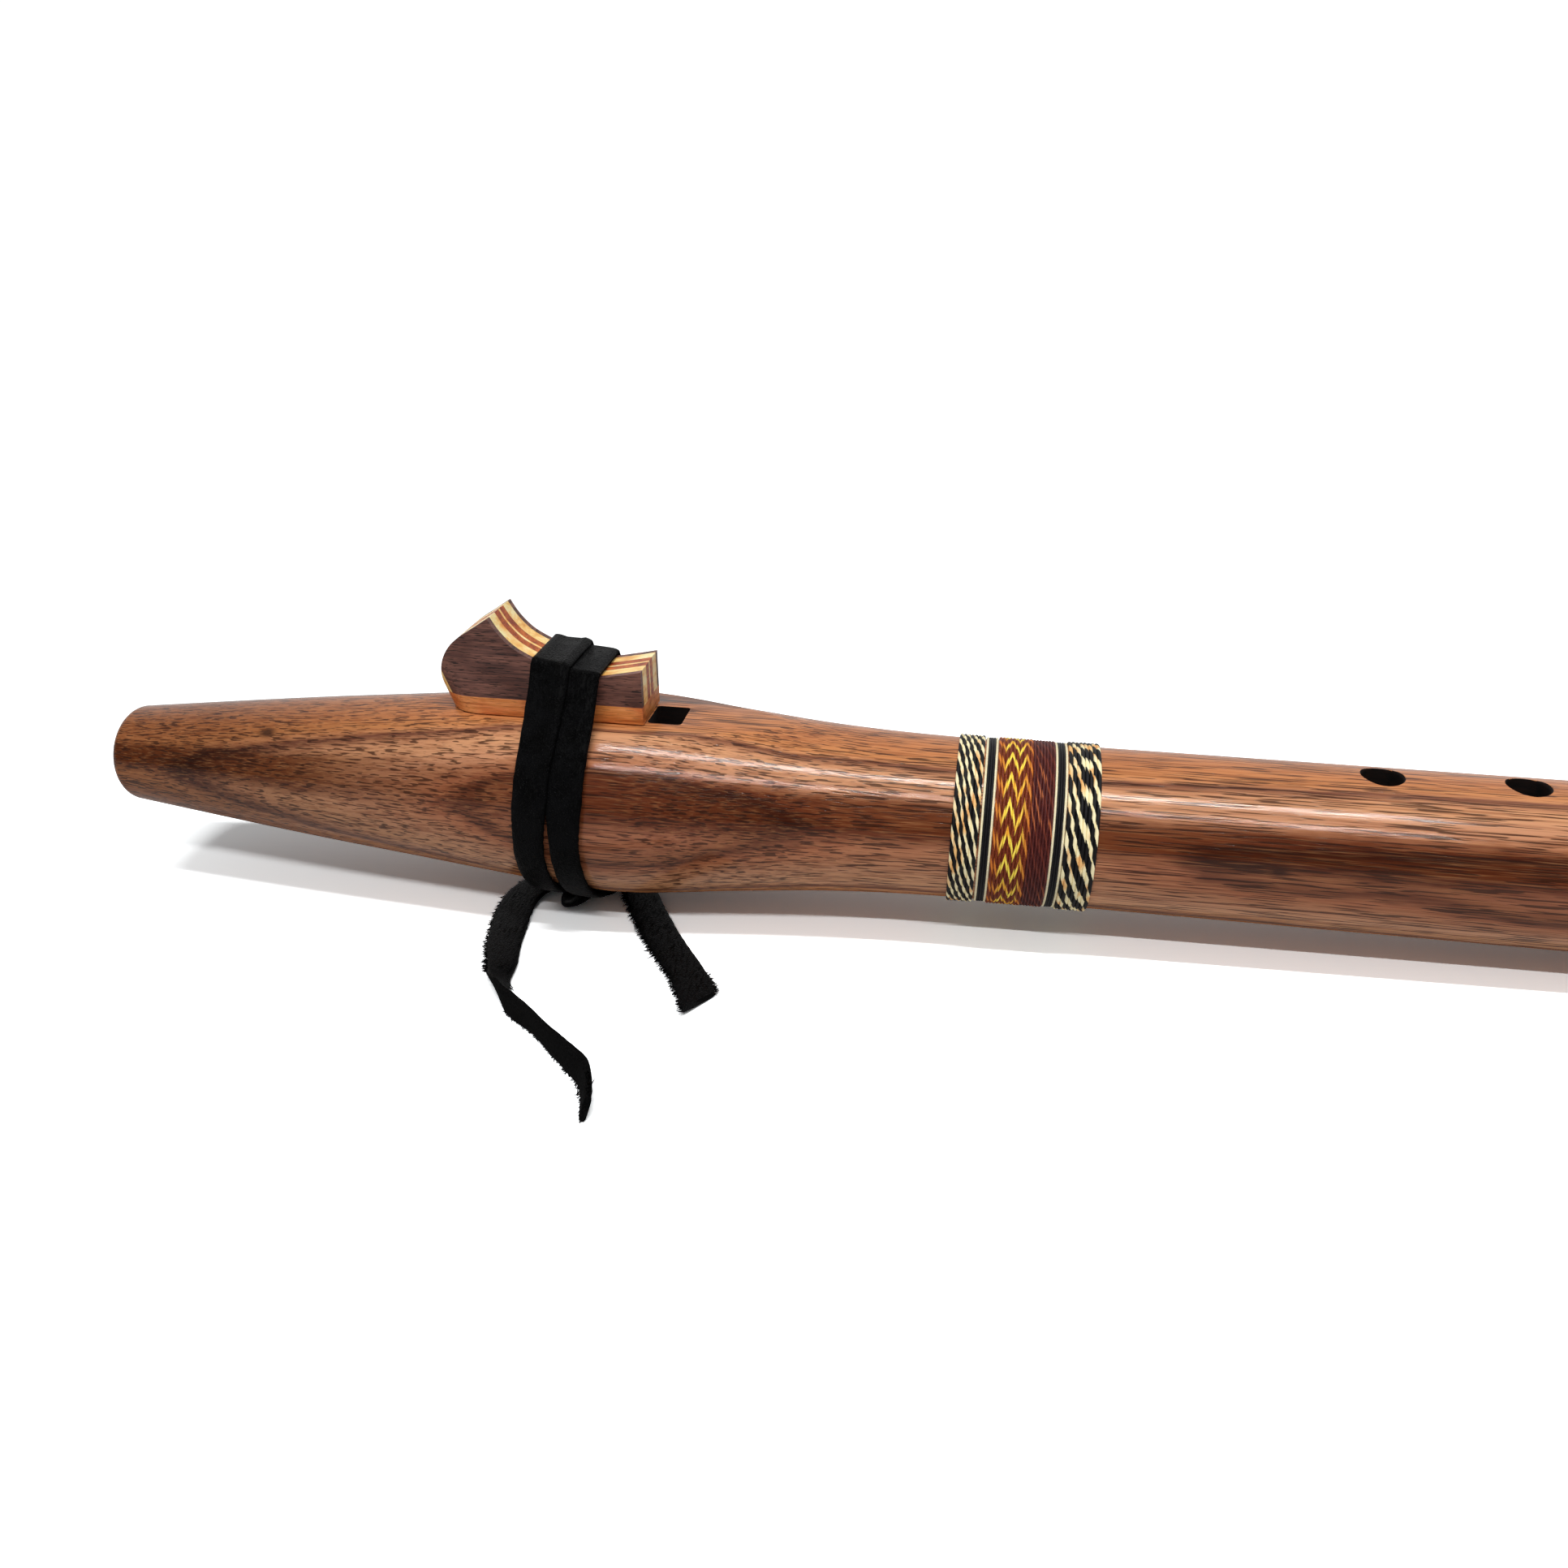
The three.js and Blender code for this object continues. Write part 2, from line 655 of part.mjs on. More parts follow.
const rightTailRoute = [
  [2.4, 3.2, 1.6, 0], [6.4, 3.4, 1.3, 0], [9.9, 1.9, 0.9, 0], [12.6, -1.6, 0.5, 0], [15.2, -6.2, 0.25, 0],
  [17.9, -10.7, 0.2, 0], [20.5, -15.1, 0.15, 0], [23.3, -19.3, 0.15, 0], [26.1, -23.2, 0.15, 0],
  [28.3, -26.3, 0.15, 1], [30.2, -29.4, 0.15, 2], [32, -32.8, 0.15, 4], [33.8, -37, 0.15, 6],
];

function makeTail(route, name) {
  const points = route.map(([x, y, clearance, degrees]) => {
    const angle = THREE.MathUtils.degToRad(degrees);
    const rise = Math.sin(angle) * laceWidth / 2 + Math.abs(Math.cos(angle)) * laceThickness / 2;
    return new THREE.Vector3(x, y, clearance + rise);
  });
  const curve = new THREE.CatmullRomCurve3(points);
  const lean = new THREE.CatmullRomCurve3(route.map((row, i) => new THREE.Vector3(i, row[3], 0)));
  const steps = (route.length - 1) * 2;
  const stations = [];
  for (let i = 0; i <= steps; i += 1) {
    const t = i / steps;
    const along = curve.getTangent(t);
    const flat = new THREE.Vector3(-along.y, along.x, 0).normalize();
    const angle = THREE.MathUtils.degToRad(lean.getPoint(t).y);
    const wide = flat.clone().applyAxisAngle(along, -angle);
    stations.push({ point: curve.getPoint(t), wide, thick: along.clone().cross(wide).normalize() });
  }
  console.log(`${name}: length`, curve.getLength().toFixed(1));
  const strip = toSolid(sweep(stripSection(laceWidth, laceThickness), stations));
  return toGeometry(strip.subtract(knotPads(seatGap)));
}

// Colours and finishes
const looks = {
  walnut: new THREE.MeshStandardMaterial({ color: '#9a5f3e', roughness: 0.42, metalness: 0 }),
  walnutDark: new THREE.MeshStandardMaterial({ color: '#4f342d', roughness: 0.5, metalness: 0 }),
  maple: new THREE.MeshStandardMaterial({ color: '#ecc27a', roughness: 0.4, metalness: 0 }),
  redWood: new THREE.MeshStandardMaterial({ color: '#8a3f24', roughness: 0.45, metalness: 0 }),
  cherry: new THREE.MeshStandardMaterial({ color: '#bb6d3a', roughness: 0.42, metalness: 0 }),
  leather: new THREE.MeshStandardMaterial({ color: '#151515', roughness: 0.8, metalness: 0 }),
  speckled: new THREE.MeshStandardMaterial({ color: '#6d6454', roughness: 0.75, metalness: 0 }),
  cream: new THREE.MeshStandardMaterial({ color: '#e8dcc0', roughness: 0.75, metalness: 0 }),
  black: new THREE.MeshStandardMaterial({ color: '#181614', roughness: 0.75, metalness: 0 }),
  flame: new THREE.MeshStandardMaterial({ color: '#9c4a22', roughness: 0.75, metalness: 0 }),
  burgundy: new THREE.MeshStandardMaterial({ color: '#5c1a20', roughness: 0.75, metalness: 0 }),
};

function named(name, geometry, look) {
  const mesh = new THREE.Mesh(geometry, looks[look]);
  mesh.name = name;
  return mesh;
}

// Assembly in the flute's frame, then laid on the table
const flute = new THREE.Group();
const halves = makeBodyHalves();
flute.add(named('body_upper_half', halves.upper, 'walnut'));
flute.add(named('body_lower_half', halves.lower, 'walnut'));
makeBlock().forEach(({ name, geometry, look }) => flute.add(named(name, geometry, look)));
flute.add(named('lace_wrap', makeLaceWrap(), 'leather'));
makeWrap().forEach(({ name, geometry, look }) => flute.add(named(name, geometry, look)));
flute.rotation.y = restAngle;
flute.updateMatrixWorld(true);

const onTable = new THREE.Box3().setFromObject(flute, true);
const middle = onTable.getCenter(new THREE.Vector3());
flute.position.set(-middle.x, -middle.y, -onTable.min.z);
flute.updateMatrixWorld(true);

const lowLace = new THREE.Group();
lowLace.add(named('lace_knot', makeKnot(), 'leather'));
lowLace.add(named('lace_tail_left', makeTail(leftTailRoute, 'lace_tail_left'), 'leather'));
lowLace.add(named('lace_tail_right', makeTail(rightTailRoute, 'lace_tail_right'), 'leather'));
const underKnot = flute.localToWorld(new THREE.Vector3(knotX, 0, knotFloorZ));
lowLace.position.copy(underKnot);

const part = new THREE.Group();
part.add(flute, lowLace);
console.log('rest angle in degrees', THREE.MathUtils.radToDeg(restAngle).toFixed(3));
console.log('flute position', flute.position.toArray().map((v) => v.toFixed(3)).join(' '));

export default part;
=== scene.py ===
# %% [markdown]
# # Six-hole duct flute with a tied block
#
# A walnut flute lies on its lace knot and its foot. Its block is laminated from four woods and tied
# on with one flat leather lace, whose two loose ends lie on the table. Waxed thread is wound round
# the barrel. Sizes are in millimetres in the flute's own frame: +X from the mouth end to the foot on
# the bore's axis, +Y away from the camera, +Z square to the flat nest under the block.

# %% Frame and units
import json
import math
import random

import bpy
from mathutils import Matrix, Vector


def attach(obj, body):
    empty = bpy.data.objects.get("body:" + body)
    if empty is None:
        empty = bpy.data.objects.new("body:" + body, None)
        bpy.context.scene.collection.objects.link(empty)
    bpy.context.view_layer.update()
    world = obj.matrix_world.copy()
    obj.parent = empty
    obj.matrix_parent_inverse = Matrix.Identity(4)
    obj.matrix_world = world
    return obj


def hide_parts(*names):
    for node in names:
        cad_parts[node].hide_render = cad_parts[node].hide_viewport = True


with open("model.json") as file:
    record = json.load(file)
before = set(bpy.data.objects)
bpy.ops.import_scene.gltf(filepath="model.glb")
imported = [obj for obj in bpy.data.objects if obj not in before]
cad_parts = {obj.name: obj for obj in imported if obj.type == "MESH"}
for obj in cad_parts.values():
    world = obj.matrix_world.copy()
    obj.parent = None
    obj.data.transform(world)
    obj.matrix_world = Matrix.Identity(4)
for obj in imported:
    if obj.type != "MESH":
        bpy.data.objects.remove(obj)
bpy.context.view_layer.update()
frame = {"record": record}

MM = 0.001
scene = bpy.context.scene
mounts = {mount["name"]: mount for mount in frame["record"]["mounts"]}
mouth_mount_drop = 6
bore_direction = Vector(mounts["foot_face"]["axis"])
nest_direction = Vector((-bore_direction.z, 0, bore_direction.x))
mouth_centre = Vector(mounts["mouth_face"]["pos_m"]) + nest_direction * mouth_mount_drop * MM
bore_turn = Matrix((bore_direction, Vector((0, 1, 0)), nest_direction)).transposed().to_4x4()
flute_frame = Matrix.Translation(mouth_centre) @ bore_turn
table_frame = Matrix.Translation(Vector(mounts["knot_rest"]["pos_m"]))
print("mouth centre", [round(v, 5) for v in mouth_centre])

# %% Small helpers


def linear(colour):
    """Scene-linear colour from an sRGB hex string."""
    parts = [int(colour[i:i + 2], 16) / 255 for i in (1, 3, 5)]
    return [v / 12.92 if v <= 0.04045 else ((v + 0.055) / 1.055) ** 2.4 for v in parts] + [1]


def add(tree, kind, inputs=(), stops=(), **settings):
    """Add a node and give its first output. Inputs hold values or the sockets that feed them."""
    node = tree.nodes.new("ShaderNode" + kind)
    for key, value in settings.items():
        setattr(node, key, value)
    for i, (place, colour) in enumerate(stops):
        ramp = node.color_ramp.elements
        stop = ramp[i] if i < 2 else ramp.new(place)
        stop.position = place
        stop.color = colour
    for key, value in dict(inputs).items():
        if isinstance(value, bpy.types.NodeSocket):
            tree.links.new(value, node.inputs[key])
        else:
            node.inputs[key].default_value = value
    return next((socket for socket in node.outputs if socket.enabled), None)


def in_scene(name, data):
    """A new object with its mesh, camera or lamp, linked to the scene."""
    made = bpy.data.objects.new(name, data)
    scene.collection.objects.link(made)
    return made


def angles_round(count, start=0):
    """Angles of equal steps round a circle, from a share of a step on."""
    return [2 * math.pi * (k + start) / count for k in range(count)]


def swept(name, rings, runs=None, leans=None, endless=False):
    """A closed mesh from rings of points in millimetres, with flat ends unless it is endless.

    Its texture coordinates are the run along it, shifted across it by the lean, and the share round it.
    """
    count = len(rings[0])
    points = [p for ring in rings for p in ring]
    faces = []
    for r in range(len(rings) - (not endless)):
        for k in range(count):
            a, b = r * count + k, r * count + (k + 1) % count
            faces.append((a, b, (b + count) % len(points), (a + count) % len(points)))
    if not endless:
        last = len(points) - count
        faces += [tuple(range(count))[::-1], tuple(range(last, last + count))]
    mesh = bpy.data.meshes.new(name)
    mesh.from_pydata(points, [], faces)
    if runs:
        layer = mesh.uv_layers.new(name="run")
        for face in mesh.polygons[:-2]:
            r, k = divmod(face.index, count)
            for loop, (dr, dk) in zip(face.loop_indices, ((0, 0), (0, 1), (1, 1), (1, 0))):
                share = (k + dk) / count
                lean = leans[r + dr] * math.cos(2 * math.pi * share) if leans else 0
                layer.data[loop].uv = (runs[r + dr] + lean, share)
    volume = sum(face.center.dot(face.normal) * face.area for face in mesh.polygons)
    if volume < 0:
        mesh.flip_normals()
    return in_scene(name, mesh)


def prism(name, outline, low, high, axis=2):
    """An outline of pairs given thickness along X, Y or Z."""
    def lift(a, b, level):
        point = [a, b]
        point.insert(axis, level)
        return Vector(point)
    return swept(name, [[lift(a, b, level) for a, b in outline] for level in (low, high)])


def combine(piece, tools, operation="DIFFERENCE"):
    """Cut or intersect a piece with other meshes, which are used up."""
    for tool in tools:
        change = piece.modifiers.new(tool.name, "BOOLEAN")
        change.object = tool
        change.operation = operation
        change.solver = "EXACT"
    mesh = bpy.data.meshes.new_from_object(piece.evaluated_get(bpy.context.evaluated_depsgraph_get()))
    piece.modifiers.clear()
    piece.data = mesh
    for tool in tools:
        bpy.data.objects.remove(tool)
    return piece


def place(piece, body, nodes, material, slot, home=flute_frame, crease=35):
    """Bring a piece made in millimetres to its place, and let it ride on a CAD body."""
    piece.data.transform(home @ Matrix.Scale(MM, 4))
    piece.data.shade_smooth()
    piece.data.set_sharp_from_angle(angle=math.radians(crease))
    piece.data.materials.clear()
    piece.data.materials.append(material)
    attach(piece, body)
    if nodes:
        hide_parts(*nodes)
    return piece


def through(points, per_span):
    """Points on a centripetal curve through the given ones; the first two parts set the spacing."""
    ends = [2 * points[0] - points[1], *points, 2 * points[-1] - points[-2]]
    line = []
    for i in range(len(points) - 1):
        p = ends[i:i + 4]
        knots = [0]
        for a, b in zip(p, p[1:]):
            knots.append(knots[-1] + max((b.xy - a.xy).length, 0.001) ** 0.5)
        for k in range(per_span):
            t = knots[1] + (knots[2] - knots[1]) * k / per_span
            level = p
            for depth in (1, 2):
                level = [
                    (level[j] * (knots[j + depth] - t) + level[j + 1] * (t - knots[j]))
                    / (knots[j + depth] - knots[j]) for j in range(len(level) - 1)
                ]
            w = (t - knots[1]) / (knots[2] - knots[1])
            line.append(level[0] * (1 - w) + level[1] * w)
    return line + [points[-1]]


# %% Camera
camera = in_scene("camera", bpy.data.cameras.new("camera"))
scene.camera = camera
camera.data.lens = 28
camera.data.sensor_width = 36
camera.data.clip_start = 0.01
look = Vector((-0.15135, 0.87712, -0.45579))
image_up = Vector((-0.07664, 0.44930, 0.89008))
camera_turn = Matrix((look.cross(image_up), image_up, -look)).transposed().to_4x4()
camera_place = Matrix.Translation(Vector((183.2, -217.66, 117.47)) * MM)
camera.matrix_world = flute_frame @ camera_place @ camera_turn
scene.view_settings.view_transform = "Standard"
print("camera at", [round(v, 4) for v in camera.matrix_world.translation])

# %% [markdown]
# ## Loose ends of the lace
#
# Two ends of one hand-cut strip of latigo: smooth grain on one side, rough flesh on the other, short
# fibres along the cut edges. Two bent planes would do for the right end, but the twist in the left
# one shows both sides, so each is a closed strip that turns along its route.

# %% Leather strips
lace_width = 7.2
lace_thickness = 1.3
# Powers below 1 square the oval section of a strip: across its width, and through it.
square_across, square_through = 0.45, 0.6
rng = random.Random(7)


def ease(value, low, high):
    """Smooth step from 0 to 1 between two values."""
    t = min(max((value - low) / (high - low), 0), 1)
    return t * t * (3 - 2 * t)


def from_table(rows, t):
    """Straight-line value between table rows of place and value."""
    for (a, low), (b, high) in zip(rows, rows[1:]):
        if t <= b:
            return low + (high - low) * max(t - a, 0) / (b - a)
    return rows[-1][1]


def strip_ring(point, wide, thick, width, thickness, count=20):
    """One rounded section of a strip; the first half of the ring is the upper side."""
    ring = []
    for angle in angles_round(count, 0.5):
        a = math.copysign(abs(math.cos(angle)) ** square_across, math.cos(angle)) * width / 2
        b = math.copysign(abs(math.sin(angle)) ** square_through, math.sin(angle)) * thickness / 2
        ring.append(point + wide * a + thick * b)
    return ring


def runs_along(points):
    """Distance run at each point."""
    runs = [0.0]
    for a, b in zip(points, points[1:]):
        runs.append(runs[-1] + (b - a).length)
    return runs


def tail_stations(route, widths, per_span=6):
    """Point, square directions and width along a loose end.

    The route's rows are x, y and turn-up in degrees; widths are shares of the strip's.
    """
    clearances = settling + [0.15] * (len(route) - len(settling))
    rows = [Vector((x, y, gap, degrees)) for (x, y, degrees), gap in zip(route, clearances)]
    rows = through(rows, per_span)
    points, sizes = [], []
    for i, (x, y, clearance, degrees) in enumerate(rows):
        lean = math.radians(degrees)
        sizes.append(lace_width * from_table(widths, i / (len(rows) - 1)))
        rise = math.sin(lean) * sizes[-1] / 2 + abs(math.cos(lean)) * lace_thickness / 2
        points.append(Vector((x, y, clearance + rise)))
    stations = []
    for i, point in enumerate(points):
        forward = (points[min(i + 1, len(points) - 1)] - points[max(i - 1, 0)]).normalized()
        flat = Vector((-forward.y, forward.x, 0)).normalized()
        wide = Matrix.Rotation(-math.radians(rows[i][3]), 3, forward) @ flat
        stations.append((point, wide, forward.cross(wide).normalized(), sizes[i]))
    return stations


# Both ends settle from the knot down to the table.
settling = [1.6, 1.3, 0.9, 0.5, 0.25, 0.2]
left_route = [
    (-2.4, 1.2, 0), (-7.5, 0.9, 0), (-11.3, -1.6, 0), (-13, -6.3, 0), (-12.7, -12.4, 0),
    (-11.5, -18, 2), (-10.1, -24, 6), (-7.9, -30.2, 16), (-6.6, -35.3, 40), (-4.8, -39.7, 65),
    (-2.4, -43.3, 84), (0.6, -45.7, 90), (5, -48.9, 86), (9.4, -52.9, 88), (13, -56, 93),
    (16.2, -58.8, 98), (19.2, -61.6, 104), (20.9, -65, 108), (22.2, -69.6, 112),
]
right_route = [
    (2.4, 3.2, 0), (6.4, 3.4, 0), (9.9, 1.9, 0), (12.6, -1.6, 0), (15.2, -6.2, 0),
    (17.9, -10.7, 0), (20.5, -15.1, 0), (23.3, -19.3, 0), (26.1, -23.2, 0), (28.3, -26.3, 1),
    (30.2, -29.4, 2), (32, -32.8, 4), (33.8, -37, 6),
]
left_widths = [
    (0, 1.12), (0.25, 1.08), (0.33, 0.98), (0.38, 0.86), (0.43, 0.72), (0.47, 0.8), (0.52, 0.93),
    (0.62, 0.86), (0.9, 0.84), (1, 0.6),
]
right_widths = [(0, 1), (0.5, 1), (0.75, 0.96), (0.9, 1.04), (1, 1)]
tails = {
    "left": tail_stations(left_route, left_widths),
    "right": tail_stations(right_route, right_widths),
}
stations_in_knot = 9
cut_length = 6
cut_slants = {"left": 0.35, "right": -0.68}
leather = bpy.data.materials.new("black_latigo_leather")


def place_leather(piece, nodes=(), home=table_frame):
    """Bring a piece of the lace to its place."""
    return place(piece, "tied_block", nodes, leather, "leather", home, crease=60)


# %% Cut edges
fibre_gap = 0.17
fibre_root = 0.13
# Signs across the strip, and the shares of its run between which that edge frays.
frayed_edges = {
    "left": [(-1, 0, 0.48), (1, 0.46, 1), (-1, 0.93, 1)],
    "right": [(-1, 0.1, 1), (1, 0.82, 1)],
}


def cut_shift(side, run, total):
    """How far the slanted cut moves a point along the strip, for each millimetre across it."""
    return cut_slants[side] * ease(run, total - cut_length, total)


def edge_fibres(side):
    """Short flesh fibres that stand out from the cut edges, as one mesh of fine spikes."""
    stations = tails[side][stations_in_knot:]
    runs = runs_along([station[0] for station in stations])
    points, faces = [], []
    for sign, start, end in frayed_edges[side]:
        run = runs[-1] * start
        while run < runs[-1] * end:
            i = max(k for k, r in enumerate(runs[:-1]) if r <= run)
            share = (run - runs[i]) / (runs[i + 1] - runs[i])
            (p, wide, thick, size), (q, _, _, next_size) = stations[i:i + 2]
            forward = (q - p).normalized()
            half = (size + (next_size - size) * share) / 2
            slide = forward * (cut_shift(side, run, runs[-1]) * sign * half)
            root = p.lerp(q, share) + wide * (sign * half * 0.97) + slide
            root += thick * rng.uniform(-0.5, 0.35) * lace_thickness * 0.8
            reach = rng.uniform(0.45, 1.5) * (1.5 if rng.random() < 0.1 else 1)
            way = wide * sign + forward * rng.uniform(-0.7, 0.7) + thick * rng.uniform(-0.5, 0.3)
            bend = forward * rng.uniform(-0.5, 0.5) + thick * rng.uniform(-0.4, 0.2)
            across = way.cross(thick).normalized()
            first = len(points)
            for s, radius in ((0, fibre_root), (0.5, fibre_root * 0.7)):
                at = root + way.normalized() * reach * s + bend * reach * s * s
                points += [
                    at + (across * math.cos(a) + thick * math.sin(a)) * radius
                    for a in (0, 2.1, 4.2)
                ]
            points.append(root + way.normalized() * reach + bend * reach)
            for k in range(3):
                n = (k + 1) % 3
                faces.append((first + k, first + n, first + 3 + n, first + 3 + k))
                faces.append((first + 3 + k, first + 3 + n, first + 6))
            faces.append((first + 2, first + 1, first))
            run += rng.uniform(0.5, 1.5) * fibre_gap
    for point in points:
        point.z = max(point.z, 0.05)
    mesh = bpy.data.meshes.new("lace_tail_" + side + "_fibres")
    mesh.from_pydata(points, [], faces)
    return place_leather(in_scene(mesh.name, mesh))


def make_tail(side):
    """A loose end of the lace with its frayed cut edges."""
    stations = tails[side][stations_in_knot:]
    points = [station[0] for station in stations]
    runs = runs_along(points)
    rings = []
    for i, (point, wide, thick, size) in enumerate(stations):
        forward = wide.cross(thick)
        shift = cut_shift(side, runs[i], runs[-1])
        ring = strip_ring(point, wide, thick, size, lace_thickness)
        for k, corner in enumerate(ring):
            across = (corner - point).dot(wide)
            rough = rng.uniform(-0.07, 0.07) * abs(2 * across / size) ** 6
            ring[k] = corner + forward * (shift * across) + wide * rough
        rings.append(ring)
    piece = swept("lace_tail_" + side + "_strip", rings, runs)
    place_leather(piece, ["lace_tail_" + side])
    edge_fibres(side)
    print(piece.name, "is", round(runs[-1], 1), "mm long")


for side in tails:
    make_tail(side)

# %% [markdown]
# ## Knot
#
# The lace is tied under the body in one overhand knot, which the flute then lies on. Its straps are
# pressed flat and bunched narrower than the free strip. A clover that rises and falls three times is
# the plainest true knot, so the strap is swept along that, pressed to 5 mm.

# %% Knot
knot_half = Vector((7.6, 9.3))
knot_height = 5
knot_strap = (4.4, 1.45)
knot_steps = 120
# Half the plain clover's size each way, and how far its middle lies off the origin.
clover_half = (2.74, 2.53)
clover_shift = 0.47


def make_knot():
    """One endless strap through a flattened clover."""
    half = knot_half - Vector((1, 1)) * knot_strap[0] / 2
    swing = (knot_height - knot_strap[1]) / 2 * 0.96
    points = []
    for a in angles_round(knot_steps):
        x = (math.sin(a) + 2 * math.sin(2 * a)) / clover_half[0]
        y = (math.cos(a) - 2 * math.cos(2 * a) + clover_shift) / clover_half[1]
        points.append(Vector((x * half.x, y * half.y, knot_height / 2 - swing * math.sin(3 * a))))
    rings = []
    for i, point in enumerate(points):
        forward = (points[(i + 1) % knot_steps] - points[i - 1]).normalized()
        wide = Vector((-forward.y, forward.x, 0)).normalized()
        rings.append(strip_ring(point, wide, forward.cross(wide), *knot_strap, 16))
    return swept("lace_overhand_knot", rings, endless=True)


knot = place_leather(make_knot(), ["lace_knot"])
for side, stations in tails.items():
    stub_stations = stations[:stations_in_knot + 2]
    place_leather(swept("lace_stub_" + side, [
        strip_ring(point, wide, thick, size * 0.94, lace_thickness * 0.9)
        for point, wide, thick, size in stub_stations
    ], runs_along([station[0] for station in stub_stations])))
print(knot.name, [round(v, 1) for v in knot.dimensions / MM])

# %% [markdown]
# ## Body
#
# The blank is sawn lengthwise, routed, glued and turned, and the sanded outside shows no seam, so one
# turned and bored solid stands here for the two halves of the CAD model.

# %% Body
body_length = 520
barrel_radius = 15.9
mouth_radius = 10.2
mouth_round = 2.4
swell_x = 111
swell_radius = 21.2
shoulder_length = 89
nest_height = 17.9
bore_radius = 11.1
flue_width = 8.6
sound_hole_x = 118.8
sound_hole_length = 6.9
block_length = 42.2
block_height = 20.2
block_front_x = 118.6
block_tail_x = block_front_x - block_length
first_hole_x, hole_gap, hand_gap = sound_hole_x + 139.4, 25.15, 8.85
hole_xs = [first_hole_x + i * hole_gap + (hand_gap if i > 2 else 0) for i in range(6)]
# Radius and height up a finger hole, whose rim is rounded by sanding.
hole_profile = [(3.65, 2), (3.65, 15.1), (3.72, 15.5), (3.9, 15.8), (4.2, 16.05), (4.2, 20)]
# Place and radius along the turned rim of the foot and the two bored chambers.
foot_edge = [(519.2, barrel_radius), (519.75, barrel_radius - 0.25), (520, barrel_radius - 0.8)]
air_chamber = [(-5, 4), (14, 4), (50, bore_radius), (88, bore_radius)]
sound_chamber = [(116, bore_radius), (525, bore_radius)]
head_shares = [(0, 0), (0.18, 0.21), (0.405, 0.46), (0.64, 0.69), (0.8, 0.85), (0.92, 0.955), (1, 1)]
shoulder_shares = [
    (0, 1), (0.08, 0.94), (0.17, 0.79), (0.265, 0.6), (0.36, 0.44), (0.455, 0.285),
    (0.55, 0.17), (0.66, 0.08), (0.8, 0.025), (1, 0),
]


def from_shares(rows, t):
    """Smooth value between table rows, as in the CAD source."""
    i = 0
    while i < len(rows) - 2 and t > rows[i + 1][0]:
        i += 1

    def slope_at(k):
        before, after = rows[max(k - 1, 0)], rows[min(k + 1, len(rows) - 1)]
        return (after[1] - before[1]) / (after[0] - before[0])

    span = rows[i + 1][0] - rows[i][0]
    u = min(max((t - rows[i][0]) / span, 0), 1)
    a = u * u * (3 - 2 * u)
    slopes = slope_at(i) * u * (1 - u) ** 2 - slope_at(i + 1) * u * u * (1 - u)
    return rows[i][1] * (1 - a) + rows[i + 1][1] * a + slopes * span


def body_radius(x):
    """Outside radius of the body."""
    if x <= swell_x:
        return mouth_radius + (swell_radius - mouth_radius) * from_shares(head_shares, x / swell_x)
    t = min((x - swell_x) / shoulder_length, 1)
    return barrel_radius + (swell_radius - barrel_radius) * from_shares(shoulder_shares, t)


def turned(name, rows, sides):
    """A turned form on the X axis from rows of x and radius."""
    return swept(name, [
        [Vector((x, radius * math.sin(a), radius * math.cos(a))) for a in angles_round(sides, 0.5)]
        for x, radius in rows
    ])


def rounded(x0, x1, half, radius, steps=5):
    """Outline of a rectangle with round corners, half its width to each side of the X axis."""
    x0, x1, y = x0 + radius, x1 - radius, half - radius
    outline = []
    for quarter, (cx, cy) in enumerate([(x1, y), (x0, y), (x0, -y), (x1, -y)]):
        for i in range(steps + 1):
            angle = (quarter + i / steps) * math.pi / 2
            outline.append((cx + radius * math.cos(angle), cy + radius * math.sin(angle)))
    return outline


def make_body():
    """The whole body, bored and cut."""
    rows = []
    for i in range(9):
        angle = i / 8 * math.pi / 2
        inward = mouth_round * (1 - math.sin(angle))
        rows.append((mouth_round * (1 - math.cos(angle)), body_radius(mouth_round) - inward))
    rows += [(x, body_radius(x)) for x in [mouth_round + 1.35 * i for i in range(1, 147)]]
    rows += [(x, barrel_radius) for x in range(208, body_length, 8)]
    body = turned("flute_body_turned", rows + foot_edge, 160)
    tools = [prism("nest", rounded(-5, 521, 30, 1), nest_height, 40)]
    tools += [turned("air_chamber", air_chamber, 64), turned("sound_chamber", sound_chamber, 64)]
    end_x = sound_hole_x + sound_hole_length
    half = flue_width / 2
    tools.append(prism("exit_hole", rounded(82, 88, half, 0.5), 2, 30))
    tools.append(prism("window", rounded(sound_hole_x, end_x, half, 0.7), 2, 30))
    ramp = [(sound_hole_x + 1, 2), (end_x + 6, 2), (end_x + 6, 10.8), (end_x, nest_height - 0.7)]
    ramp.append((sound_hole_x + 1, nest_height - 0.7))
    tools.append(prism("ramp", ramp, -half, half, 1))
    for x in hole_xs:
        tools.append(swept("finger_hole", [
            [Vector((x + r * math.cos(a), r * math.sin(a), z)) for a in angles_round(64)]
            for r, z in hole_profile
        ]))
    return combine(body, tools)


